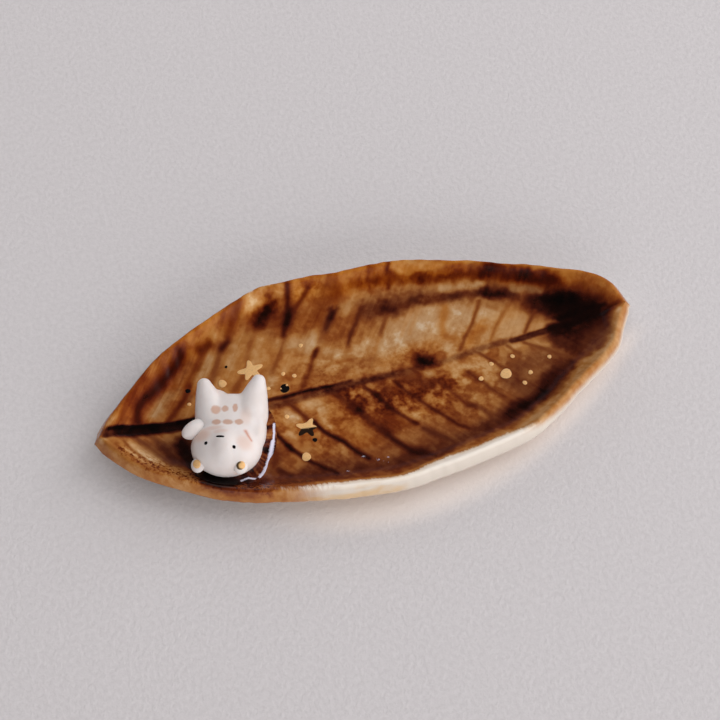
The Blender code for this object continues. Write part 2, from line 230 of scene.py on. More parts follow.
def plan_tree(*pieces: Piece) -> BVHTree:
    """Finished pieces as one search tree, back in millimetres in the leaf's plan.

    Args:
        pieces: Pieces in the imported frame.

    Returns:
        The tree.
    """
    points, faces = [], []
    for piece in pieces:
        first = len(points)
        points.extend(vert.co / MM - PLAN_SHIFT for vert in piece.data.vertices)
        faces.extend([first + corner for corner in face.vertices] for face in piece.data.polygons)
    return BVHTree.FromPolygons(points, faces)


def cast_down(ground: BVHTree, x: float, y: float) -> tuple[Vector, Vector]:
    """Where a plumb line at a place in plan meets the ground, and the ground's normal there."""
    hit, normal, _, _ = ground.ray_cast(Vector((x, y, CAST_HEIGHT)), DOWN)
    return hit, normal


def seat_in_frame(piece: Piece, transform: Matrix | None = None) -> None:
    """Carry a mesh from millimetres in the leaf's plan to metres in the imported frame.

    Args:
        piece: The mesh.
        transform: What takes it from its own frame to the leaf's plan, where it has one.
    """
    shift = Matrix.Diagonal((MM, MM, MM, 1.0)) @ Matrix.Translation(PLAN_SHIFT)
    piece.data.transform(shift @ (transform or Matrix.Identity(4)))
    piece.data.update()


def hand_over(
    piece: Piece, material: Material, replaced: tuple[str, ...] = ()
) -> Piece:
    """Finish a piece: its material, its body and the CAD nodes that it stands for.

    Args:
        piece: The finished mesh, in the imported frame.
        material: What it is made of.
        replaced: CAD nodes that it stands for.

    Returns:
        The piece.
    """
    piece.data.materials.clear()
    piece.data.materials.append(material)
    only(piece)
    bpy.ops.object.shade_smooth()
    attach(piece, BODY)
    if replaced:
        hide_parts(*replaced)
    LOG.info("%s: %d faces", piece.name, len(piece.data.polygons))
    return piece


# ---------------------------------------------------------------- the leaf's form


@dataclass(frozen=True)
class LeafSide:
    """One side of the leaf: how far it reaches from the midrib, along its length."""

    way: int
    reach: float
    outline: Pairs
    veins: tuple[float, ...]
    length: float = LEAF_LENGTH
    samples: int = 1200

    def table(self) -> tuple[Array, Array, Array]:
        """The outline through its points without overshoot.

        Returns:
            Places along the midrib, the side's width there, and the outline's slope there.
        """
        along = np.array([point[0] for point in self.outline])
        out = np.array([point[1] for point in self.outline])
        steps = np.diff(along)
        rises = np.diff(out) / steps
        same_way = rises[:-1] * rises[1:] > 0
        pair_sum = np.where(same_way, rises[:-1] + rises[1:], 1.0)
        inner = np.where(same_way, 2 * rises[:-1] * rises[1:] / pair_sum, 0.0)
        tangents = np.concatenate(([rises[0]], inner, [rises[-1]]))
        spots = np.linspace(0, 1, self.samples)
        span = np.clip(np.searchsorted(along, spots) - 1, 0, len(steps) - 1)
        part = (spots - along[span]) / steps[span]
        value = (
            out[span] * (2 * part**3 - 3 * part**2 + 1)
            + out[span + 1] * (3 * part**2 - 2 * part**3)
            + steps[span] * tangents[span] * (part**3 - 2 * part**2 + part)
            + steps[span] * tangents[span + 1] * (part**3 - part**2)
        )
        places = (spots - 0.5) * self.length
        widths = value * self.reach
        return places, widths, np.gradient(widths, places)

    def roots(self) -> Array:
        """Where this side's veins leave the midrib."""
        return (np.array(self.veins) - 0.5) * self.length


@dataclass
class LeafForm:
    """The pressed slab's surface, in millimetres in the leaf's plan."""

    far: LeafSide = LeafSide(
        1,
        29.08,
        (
            (0.0, 0.0), (0.01, 0.065), (0.022, 0.132), (0.04, 0.213), (0.076, 0.366),
            (0.135, 0.578), (0.25, 0.834), (0.31, 0.937), (0.365, 1.0), (0.425, 1.0),
            (0.5, 0.968), (0.61, 0.932), (0.71, 0.813), (0.81, 0.652), (0.905, 0.477),
            (0.965, 0.332), (0.988, 0.21), (1.0, 0.0),
        ),
        (0.046, 0.073, 0.123, 0.169, 0.222, 0.285, 0.368, 0.425, 0.494, 0.541, 0.608, 0.678,
         0.732, 0.798, 0.854),
    )
    near: LeafSide = LeafSide(
        -1,
        29.8,
        (
            (0.0, 0.0), (0.012, 0.10), (0.053, 0.32), (0.125, 0.54), (0.2, 0.722), (0.32, 0.876),
            (0.405, 0.95), (0.5, 1.0), (0.61, 0.955), (0.745, 0.86), (0.81, 0.71), (0.88, 0.52),
            (0.95, 0.325), (0.975, 0.16), (0.99, 0.06), (1.0, 0.0),
        ),
        (0.035, 0.07, 0.138, 0.198, 0.263, 0.338, 0.421, 0.481, 0.531, 0.585, 0.652, 0.711,
         0.759, 0.8, 0.856),
    )
    length: float = LEAF_LENGTH
    thickness: float = 3.6
    rim: float = 8.5
    wall: float = 6.5
    wall_curl: float = 1.6
    wall_run_share: float = 0.7
    stalk_climb: Triple = (0.19, 0.015, 1.75)
    point_climb: Triple = (0.86, 0.992, 1.6)
    edge_lip: float = 0.4
    edge_inset: float = 0.6
    edge_roll: float = 0.28
    edge_round: float = 1.3
    edge_tilt: float = math.radians(27)
    far_edge_tilt: float = math.radians(9)
    far_tilt_fade: float = 12.0
    lean: float = math.radians(54)
    fan_share: float = 0.062
    vein_width: float = 1.15
    vein_depth: float = 0.03
    vein_fade: float = 0.12
    midrib_width: float = 2.3
    midrib_depth: float = 0.22
    foot_snap: float = 0.25
    waver: Pairs = ((0.13, 0.30), (0.5, 0.16))
    waver_inset: float = 0.1
    waver_fade: float = 8.0
    search_steps: int = 40

    def __post_init__(self) -> None:
        """Cut both outlines."""
        self.tables = {1: self.hand_cut(self.far), -1: self.hand_cut(self.near)}

    def hand_cut(self, side: LeafSide) -> tuple[Array, Array, Array]:
        """A side's outline with the small waver of a hand-held knife.

        Args:
            side: The side to cut.

        Returns:
            Places along the midrib, the side's width there, and the outline's slope there.
        """
        places, widths, _ = side.table()
        waver = np.zeros_like(places)
        for scale, reach in self.waver:
            waver += [reach * noise.noise((place * scale, 5.3 * side.way, 1.7)) for place in places]
        ends = smoothstep(0.0, self.waver_fade, self.length / 2 - np.abs(places))
        widths = widths + (waver - self.waver_inset) * ends
        return places, widths, np.gradient(widths, places)

    def side(self, way: int) -> LeafSide:
        """The leaf's far side for 1 and its near side for -1."""
        return self.far if way > 0 else self.near

    def width(self, x: Array, way: int) -> Array:
        """How far one side reaches from the midrib at x."""
        places, widths, _ = self.tables[way]
        return np.interp(x, places, widths)

    def slope(self, x: Array, way: int) -> Array:
        """How fast one side's outline widens at x."""
        places, _, slopes = self.tables[way]
        return np.interp(x, places, slopes)

    def floor(self, x: Array) -> Array:
        """The floor's height beside the midrib, climbing to both ends.

        Args:
            x: Places along the midrib.

        Returns:
            The heights.
        """
        share = x / self.length + 0.5
        climbs = [
            np.clip((start - share) / (start - end), 0, 1) ** curl
            for start, end, curl in (self.stalk_climb, self.point_climb)
        ]
        return self.thickness + (self.rim - self.thickness) * np.maximum(*climbs)

    def inset(self, x: Array, y: Array, way: int) -> Array:
        """The distance in from the rim."""
        return (self.width(x, way) - np.abs(y)) / np.hypot(1.0, self.slope(x, way))

    def height(self, x: Array, y: Array, way: int) -> Array:
        """The upper surface's height without its veins."""
        rise = np.clip(1.0 - self.inset(x, y, way) / self.wall, 0, 1) ** self.wall_curl
        floor = self.floor(x)
        return floor + (self.rim - floor) * rise

    def normal(self, x: Array, y: Array, inward: Array, way: int) -> Array:
        """The upward normal of the upper surface, measured a little inside the outline.

        Args:
            x: Places along the midrib.
            y: Places across it.
            inward: The direction in plan away from the rim.
            way: 1 for the far side and -1 for the near one.

        Returns:
            The normals.
        """
        probe = self.edge_round / 4
        x = x + inward[..., 0] * probe * 2
        y = y + inward[..., 1] * probe * 2
        across = self.height(x + probe, y, way) - self.height(x - probe, y, way)
        along = self.height(x, y + probe, way) - self.height(x, y - probe, way)
        up = np.stack([-across / (2 * probe), -along / (2 * probe), np.ones_like(x)], -1)
        return up / np.linalg.norm(up, axis=-1, keepdims=True)

    def ray_lean(self, roots: Array) -> Array:
        """The angle between the midrib and the row that leaves it at each root."""
        share = np.clip((roots / self.length + 0.5) / self.fan_share, 0, 1)
        return self.lean + (math.pi / 2 - self.lean) * (1 - share) ** 2

    def rays(self, roots: Array, way: int) -> tuple[Array, Array, Array]:
        """Rows that run from the midrib to the rim.

        Args:
            roots: Where the rows leave the midrib.
            way: 1 for the far side and -1 for the near one.

        Returns:
            The rows' headings along x and y, and how far they run.
        """
        lean = self.ray_lean(roots)
        along, across = np.cos(lean), way * np.sin(lean)
        short, long = np.zeros_like(roots), np.full_like(roots, self.length)
        for _ in range(self.search_steps):
            middle = (short + long) / 2
            inside = self.width(roots + along * middle, way) > np.abs(across * middle)
            short, long = np.where(inside, middle, short), np.where(inside, long, middle)
        return along, across, short

    def vein_press(self, roots: Array, way: int, share: Array) -> Array:
        """How deep the side veins are pressed.

        Args:
            roots: Where the rows leave the midrib.
            way: 1 for the far side and -1 for the near one.
            share: For each row, its points' shares of the way to the rim.

        Returns:
            The depths, by row and by point.
        """
        half = self.vein_width / 2 / math.sin(self.lean)
        away = np.abs(roots[:, None] - self.side(way).roots()[None, :]).min(axis=1) / half
        profile = 0.5 + 0.5 * np.cos(math.pi * np.clip(away, 0, 1))
        fade = np.minimum((1 - share) / self.vein_fade, 1.0)
        return self.vein_depth * profile[:, None] * fade

    def midrib_press(self, y: Array) -> Array:
        """How deep the midrib is pressed at a distance from its middle."""
        away = np.clip(np.abs(y) / (self.midrib_width / 2), 0, 1)
        return self.midrib_depth * (0.5 + 0.5 * np.cos(math.pi * away))


# ---------------------------------------------------------------- brushes of stain, painted glints and painted sheen


@dataclass(frozen=True)
class Brush:
    """One painted stroke: a line in plan, and what it leaves. Most lay stain under the glaze; some lay
    painted highlights, painted reflection and painted shade.
    """

    path: Pairs
    width: float
    density: float
    warmth: float
    strength: float = 1.0
    hardness: float = 2.0
    taper: float = 0.0
    thinnest: float = 0.05

    def cover(self, x: Array, y: Array, weight: float = 1.0) -> Array:
        """How fully the stroke covers each point, 0 to 1.

        Args:
            x: Places along the midrib.
            y: Places across it.
            weight: How much wider than written the stroke is laid.

        Returns:
            The stroke's cover.
        """
        best = np.full(x.shape, 1e9)
        spots = self.path if len(self.path) > 1 else self.path * 2
        total = len(spots) - 1
        for index, ((x0, y0), (x1, y1)) in enumerate(zip(spots, spots[1:])):
            run_x, run_y = x1 - x0, y1 - y0
            length = max(run_x**2 + run_y**2, 1e-9)
            part = np.clip(((x - x0) * run_x + (y - y0) * run_y) / length, 0, 1)
            away = np.hypot(x - x0 - part * run_x, y - y0 - part * run_y)
            width = self.width * weight * (1 - self.taper * (index + part) / total)
            best = np.minimum(best, away / np.maximum(width, self.thinnest))
        return self.strength * np.exp(-(best**self.hardness))


FAR_GROUND = (
    Brush(((-60, 4), (-52, 8), (-44, 13), (-38, 18)), 6, 0.47, 0.90, 0.95),
    Brush(((-34, 10), (-26, 14), (-20, 12)), 6, 0.29, 0.60, 0.95),
    Brush(((-20, 8), (-14, 8)), 4, 0.34, 0.60, 0.8),
    Brush(((-14, 20), (-6, 19), (-2, 24)), 5, 0.50, 0.72, 0.95),
    Brush(((-5, 13.4), (4, 15)), 3.6, 0.47, 0.60, 0.9),
    Brush(((-10, 5), (4, 4), (10, 4)), 4, 0.25, 0.40, 0.8),
    Brush(((0, 21), (14, 21), (22, 19.6)), 1.8, 0.34, 0.45, 0.95),
    Brush(((10, 10), (22, 8), (30, 10), (38, 7)), 6, 0.13, 0.25, 0.95),
    Brush(((20, 3), (44, 3)), 2.5, 0.19, 0.40, 0.8),
)

NEAR_GROUND = (
    Brush(((-24, -4), (-16, -6), (-10, -8)), 5, 0.31, 0.60, 0.95),
    Brush(((-20, -10), (-16, -15), (-10, -18)), 3.4, 0.46, 0.65, 0.9),
    Brush(((-11, -9), (-7, -14), (-4, -18)), 3.0, 0.46, 0.80, 0.9),
    Brush(((-4, -6), (6, -8), (14, -8)), 7, 0.54, 0.75, 0.95),
    Brush(((0, -15), (10, -17), (18, -17)), 3.5, 0.45, 0.50, 0.85),
    Brush(((-6.6, -3.4), (-4, -7)), 1.6, 0.64, 0.60, 0.8),
    Brush(((-2.4, -11), (0.6, -15)), 1.8, 0.64, 0.75, 0.75),
    Brush(((-0.6, -5), (3, -8)), 2.0, 0.62, 0.60, 0.75),
    Brush(((9, -2.6), (14, -6.4)), 2.2, 0.66, 0.60, 0.75),
    Brush(((17, -3), (20, -8)), 1.9, 0.56, 0.70, 0.75),
    Brush(((22, -4), (31, -5)), 4, 0.32, 0.60, 0.85),
    Brush(((22, -12), (28, -14)), 4, 0.40, 0.50, 0.8),
    Brush(((36, -8), (44, -6)), 5, 0.47, 0.15, 0.9),
    Brush(((-58, -4), (-50, -8)), 4, 0.34, 0.20, 0.9),
)

FAR_RIM = (
    Brush(((-62, 3.8), (-57.6, 9.4), (-55, 12), (-49.8, 15.8), (-45, 18.6), (-41, 20.6)), 1.2,
          0.42, 0.95, 0.9),
    Brush(((-49.6, 13.4), (-47.8, 14.4)), 0.9, 0.30, 0.80, 0.75),
    Brush(((-59.4, 4.4), (-57.4, 7.4)), 0.9, 0.44, 0.80, 0.7),
    Brush(((-41, 20.4), (-36, 22.2), (-29.6, 24.8)), 1.9, 0.35, 1.0, 0.95),
    Brush(((-29.4, 23.4), (-25.4, 26)), 1.6, 0.50, 0.80, 0.7),
    Brush(((-24, 25.8), (-20.6, 26.6), (-17.6, 27.2)), 1.8, 0.05, 0.75, 0.97),
    Brush(((-17, 27.5), (-13, 28)), 1.0, 0.20, 0.90, 0.8),
    Brush(((-10, 28), (-6, 27), (-3.6, 28)), 2.0, 0.42, 1.0, 0.95),
    Brush(((-10.6, 25.6), (-9.4, 27)), 0.9, 0.22, 0.95, 0.8),
    Brush(((0, 27.8), (8, 27.4), (14, 26.6)), 1.6, 0.38, 1.0, 0.95, 3),
    Brush(((0.6, 25.4), (2.6, 24.4)), 1.4, 0.34, 1.0, 0.8),
    Brush(((3.4, 24.6), (8, 24.6), (14, 23.7), (20, 22.3)), 1.5, 0.55, 1.0, 0.95, 3),
    Brush(((8.8, 27.6), (7.9, 25), (7.2, 22.8)), 0.7, 0.60, 0.90, 0.8),
    Brush(((7.8, 25), (9.2, 24.2)), 1.1, 0.72, 0.90, 0.9),
    Brush(((13.6, 27.4), (12.6, 24.6), (11.8, 22.2)), 0.7, 0.70, 0.90, 0.9),
    Brush(((14.8, 27), (16, 26.6)), 0.7, 0.12, 0.70, 0.9),
    Brush(((13.6, 24), (15.4, 22.8)), 1.0, 0.68, 0.90, 0.9),
    Brush(((18, 23), (22, 21.8)), 1.0, 0.64, 0.90, 0.85),
    Brush(((3.4, 24), (3.1, 22.4)), 0.6, 0.46, 0.80, 0.7),
    Brush(((8.2, 23.4), (7.6, 22.2)), 0.5, 0.44, 0.80, 0.6),
    Brush(((14.4, 22.6), (13.6, 21)), 0.6, 0.50, 0.60, 0.7),
    Brush(((14, 26.2), (18, 25.6)), 0.7, 0.18, 0.80, 0.8),
    Brush(((16, 25.2), (24, 23.4), (31, 21.8)), 1.1, 0.25, 0.95, 0.95, 3),
    Brush(((31, 22), (40, 19), (50, 14.6), (59, 9.6), (63.4, 3.6)), 0.7, 0.24, 0.80, 0.9),
    Brush(((20, 22), (29, 20.2), (34, 18.9), (40, 16.8), (45, 14.6), (50, 12.4)), 1.5, 0.70, 0.90,
          1.0, 3),
    Brush(((35, 18.6), (39, 17.7), (45, 14.8), (52, 11.2), (56, 8.8)), 1.35, 0.82, 0.90, 0.95),
    Brush(((22, 22.4), (31, 20.6)), 0.7, 0.42, 1.0, 0.7),
    Brush(((54.6, 10.6), (59.4, 7.4), (62.6, 3)), 2.5, 0.37, 0.90, 0.95),
    Brush(((56, 10.8), (60.6, 7.4), (63.2, 3.4)), 1.2, 0.32, 0.80, 0.8),
)

NEAR_RIM = (
    Brush(((-61, -3.6), (-56.8, -8.8), (-52.5, -12), (-47.8, -15), (-42.5, -18), (-38, -20.2),
           (-29.7, -23.1), (-23, -24.8)), 1.35, 0.46, 0.50, 0.95, 3),
    Brush(((-63.2, -4.6), (-58.4, -10.5), (-53.8, -13.8), (-49, -17), (-43.6, -19.9), (-39, -22.2),
           (-30.4, -25.2), (-23.2, -27)), 1.0, 0.28, 0.60, 0.95, 3),
    Brush(((31, -24.4), (39.2, -20.1), (48.2, -14.4), (57, -8.9), (60, -4.4)), 1.5, 0.20, 0.38, 0.95),
    Brush(((50, -9.4), (54, -7.4)), 1.5, 0.44, 0.50, 0.7),
    Brush(((38, -18.4), (45, -14.6), (52, -9.8), (57.6, -5.4)), 1.1, 0.46, 0.40, 0.6),
    Brush(((34, -26), (42, -21.4), (51, -15.2), (59.4, -9.4), (63, -4)), 1.4, 0.07, 0.25, 0.9),
    Brush(((-42, -19.8), (-37, -22), (-30, -24.2)), 1.1, 0.64, 0.60, 0.9),
    Brush(((47.5, -13), (53, -10.6)), 1.5, 0.22, 0.45, 0.8),
    Brush(((60.6, -3.2), (59.8, -5.6)), 1.2, 0.18, 0.35, 0.9),
)

FAR_POOLS = (
    Brush(((-21.6, 21.8), (-19.4, 23), (-17, 25)), 2.7, 0.76, 0.75, 0.9, 2.4),
    Brush(((-20.6, 22), (-18.8, 23.6)), 1.6, 0.88, 0.60, 0.85),
    Brush(((-19, 18.6),), 2.0, 0.46, 0.45, 0.7),
    Brush(((5.5, 17.6), (9.5, 17.6), (13, 17.2), (19, 17.2), (25, 16.2), (31, 15.2), (36, 13.6)),
          1.9, 0.52, 0.25, 0.85),
    Brush(((6.2, 17.8), (9.5, 17.8), (13, 17.2)), 2.6, 0.62, 0.25, 0.95, 2.2),
    Brush(((9.6, 17.8), (11.3, 16.4)), 1.5, 0.76, 0.15, 0.85),
    Brush(((16.6, 17.8), (18.8, 17.7)), 1.3, 0.74, 0.10, 0.9),
    Brush(((19, 17.2), (24, 16.4), (29, 16)), 1.5, 0.57, 0.30, 0.95),
    Brush(((25, 16), (27, 16.2)), 1.2, 0.70, 0.10, 0.85),
    Brush(((33.4, 14.4), (36, 13.8), (38.6, 12.4)), 1.9, 0.86, 0.10, 1.0, 2.4),
    Brush(((38.6, 12.6), (40.6, 10.6)), 1.6, 0.80, 0.10, 0.9),
    Brush(((40.6, 10), (42.4, 8.2)), 1.5, 0.68, 0.35, 0.9),
    Brush(((31, 12.8), (36, 11.2), (40.6, 8.8)), 1.5, 0.44, 0.45, 0.85),
    Brush(((45.6, 8.6), (50, 7.4), (54.4, 5.6), (57.6, 2.4)), 4.2, 0.66, 0.55, 0.9, 2.6),
    Brush(((47, 7.4), (50, 5.2), (53.4, 3.6), (56, 1.6)), 3.3, 0.90, 0.05, 0.97, 3),
    Brush(((46.2, 8.4), (50, 7.6), (53.8, 5.8)), 2.1, 0.98, 0.0, 1.0, 2.4),
    Brush(((48.6, 2.4), (54, 2), (59, 1)), 1.4, 0.96, 0.0, 1.0, 3),
    Brush(((44.6, 9.6), (45.6, 7)), 1.6, 0.80, 0.10, 0.85),
)

NEAR_POOLS = (
    Brush(((-20, -18.8), (-8, -19.6), (6, -19.6), (16, -19)), 2.0, 0.50, 0.30, 0.7),
    Brush(((-27, -20.6), (-20, -21.6), (-12, -23), (-4, -24.2), (6, -24.2), (14, -23), (21, -21.6),
           (28, -19.6), (36, -16.6), (42, -13), (47, -8.8), (52, -4.4)), 2.9, 0.65, 0.10, 0.95, 3),
    Brush(((-10, -25), (-4, -26.4), (2, -26.8)), 1.2, 0.52, 0.45, 0.8),
    Brush(((14, -25.2), (21, -23.8), (27, -22.6)), 1.1, 0.38, 0.50, 0.9),
    Brush(((30, -18.4), (34, -17.2), (38, -15.8), (41.5, -13.4)), 2.0, 0.87, 0.05, 1.0),
    Brush(((41, -13), (45.6, -10.4), (49, -7)), 2.2, 0.77, 0.15, 0.95, 3),
    Brush(((46, -7), (54, -7.4)), 2.2, 0.56, 0.35, 0.85),
    Brush(((48, -4.6), (53, -4.8), (57, -3.6)), 3.0, 0.68, 0.15, 0.9, 3),
    Brush(((47, -1.6), (53, -1.8), (58.4, -1)), 2.0, 0.86, 0.05, 1.0),
    Brush(((-50.4, -5), (-49, -9.4)), 2.2, 0.62, 0.10, 0.9),
    Brush(((-46.4, -5), (-45.2, -12), (-43, -16.6)), 2.1, 0.90, 0.0, 1.0, 3),
    Brush(((-42.6, -18), (-38.4, -19)), 1.9, 0.97, 0.0, 1.0, 3),
    Brush(((-35, -20), (-30, -20.6)), 2.2, 0.74, 0.15, 0.95),
    Brush(((-26.6, -8), (-26.4, -15), (-28.4, -18.4)), 1.9, 0.60, 0.35, 0.9),
    Brush(((-24, -13), (-23.4, -17)), 1.4, 0.52, 0.50, 0.8),
    Brush(((32, -10.6), (35, -13)), 2.6, 0.58, 0.15, 0.85),
)

# Pale patches of stain between the veins; two strokes along the far wall's foot are painted reflection.
PANES_AND_SHEEN = (
    Brush(((-62.6, 2.9), (-60.4, 4)), 0.9, 0.16, 0.35, 0.9),
    Brush(((-51, 3.6), (-49, 6), (-46.4, 8.4)), 1.6, 0.26, 0.15, 0.97),
    Brush(((-43.4, 9.4), (-42, 6)), 1.2, 0.50, 0.20, 0.8),
    Brush(((-42.6, 12), (-40, 15.6)), 1.4, 0.48, 0.50, 0.8),
    Brush(((-58.8, 3.2),), 0.9, 0.44, 0.50, 0.8),
    Brush(((-38.2, 11), (-36.6, 13.4), (-35, 16.6)), 1.8, 0.24, 0.35, 0.9),
    Brush(((-35, 16.4),), 1.2, 0.16, 0.30, 0.7),
    Brush(((-31.6, 20),), 1.2, 0.18, 0.50, 0.8),
    Brush(((-30.6, 12), (-28.4, 17)), 1.4, 0.20, 0.40, 0.8),
    Brush(((-22.6, 5), (-21.6, 8)), 1.5, 0.18, 0.20, 0.7),
    Brush(((-26, 11), (-22, 17)), 1.7, 0.18, 0.50, 0.85),
    Brush(((-17, 14.2), (-10.4, 13.4)), 2.0, 0.17, 0.25, 0.85),
    Brush(((-11.4, 11.6), (-9.4, 15)), 1.2, 0.15, 0.20, 0.7),
    Brush(((-7.4, 9.6), (-4, 8.4)), 1.6, 0.12, 0.25, 0.9),
    Brush(((-1, 7.6), (3, 9.4)), 1.5, 0.13, 0.30, 0.8),
    Brush(((0, 19), (3.4, 23)), 1.4, 0.26, 0.45, 0.8),
    Brush(((7, 7), (11, 8.6)), 1.5, 0.15, 0.20, 0.85),
    Brush(((12.6, 8), (18.4, 12)), 2.7, 0.10, 0.15, 0.95),
    Brush(((18.6, 13.4), (20.8, 13.6)), 1.1, 0.10, 0.20, 0.8),
    Brush(((24.8, 12.6), (28.4, 8.8)), 2.0, 0.12, 0.20, 0.95),
    # Painted reflection: a pale sheen along the far wall's foot.
    Brush(((24.6, 18.6), (34, 16.6)), 1.0, 0.20, 0.30, 0.95),
    Brush(((40.8, 13.4), (43.4, 12.8), (46.4, 11.2)), 1.0, 0.34, 0.05, 0.9),
    Brush(((30.6, 11.6), (32.4, 12.6)), 1.2, 0.18, 0.35, 0.8),
    Brush(((33.4, 11), (37, 10)), 1.3, 0.36, 0.35, 0.8),
    Brush(((34.4, 6.6), (38.6, 7.4)), 1.9, 0.20, 0.60, 0.85),
    Brush(((34, 2.6), (38.4, 2.8)), 1.2, 0.15, 0.45, 0.8),
    Brush(((41.8, 2.2), (44.2, 2.2)), 1.3, 0.20, 0.50, 0.9),
    Brush(((25.2, 2.2), (27.8, 4.4), (30.4, 6.4)), 1.6, 0.32, 0.85, 0.85),
    Brush(((20, 2.4), (21.6, 4.6)), 1.1, 0.15, 0.25, 0.7),
    Brush(((-20.8, -3.4), (-18.6, -5.6)), 1.4, 0.14, 0.25, 0.8),
    Brush(((-21.8, -9.6),), 1.4, 0.17, 0.30, 0.7),
    Brush(((-18.4, -14.4),), 1.3, 0.18, 0.30, 0.7),
    Brush(((-14.6, -3), (-13, -5)), 1.7, 0.17, 0.35, 0.8),
    Brush(((-12.6, -8.4), (-11.6, -10)), 1.0, 0.16, 0.35, 0.7),
    Brush(((-13, -17), (-11.6, -16)), 1.7, 0.19, 0.40, 0.8),
    Brush(((-8.4, -13), (-6.8, -12.6)), 1.2, 0.28, 0.60, 0.8),
    Brush(((14.2, -10.4), (15.4, -11)), 1.2, 0.30, 0.65, 0.8),
    Brush(((8, -12.4), (10, -12.6)), 1.3, 0.17, 0.60, 0.85),
    Brush(((4.4, -14),), 1.0, 0.20, 0.50, 0.6),
    Brush(((13.6, -2.6), (14.6, -3.4)), 0.8, 0.18, 0.20, 0.6),
    Brush(((17, -18.8),), 1.4, 0.30, 0.40, 0.7),
    Brush(((23.6, -3.4), (28, -4.6)), 1.6, 0.17, 0.45, 0.85),
    Brush(((21, -10.4), (22, -11)), 1.0, 0.24, 0.50, 0.6),
    Brush(((36, -2), (38.4, -1.9)), 0.9, 0.18, 0.55, 0.8),
    Brush(((41, -2), (44, -3.6)), 1.1, 0.18, 0.45, 0.85),
    Brush(((45, -6), (47.6, -7)), 1.1, 0.38, 0.30, 0.7),
    Brush(((-60.2, -1.6), (-59, -5), (-56.4, -9)), 0.8, 0.24, 0.45, 0.95, 3),
    Brush(((-57.6, -2.4), (-56, -6), (-52.6, -10)), 0.95, 0.18, 0.40, 0.95, 3),
    Brush(((-64.4, -0.6), (-62, -0.8)), 0.7, 0.12, 0.40, 0.9),
    Brush(((62.4, -1.9),), 1.0, 0.02, 0.1, 0.9),
)

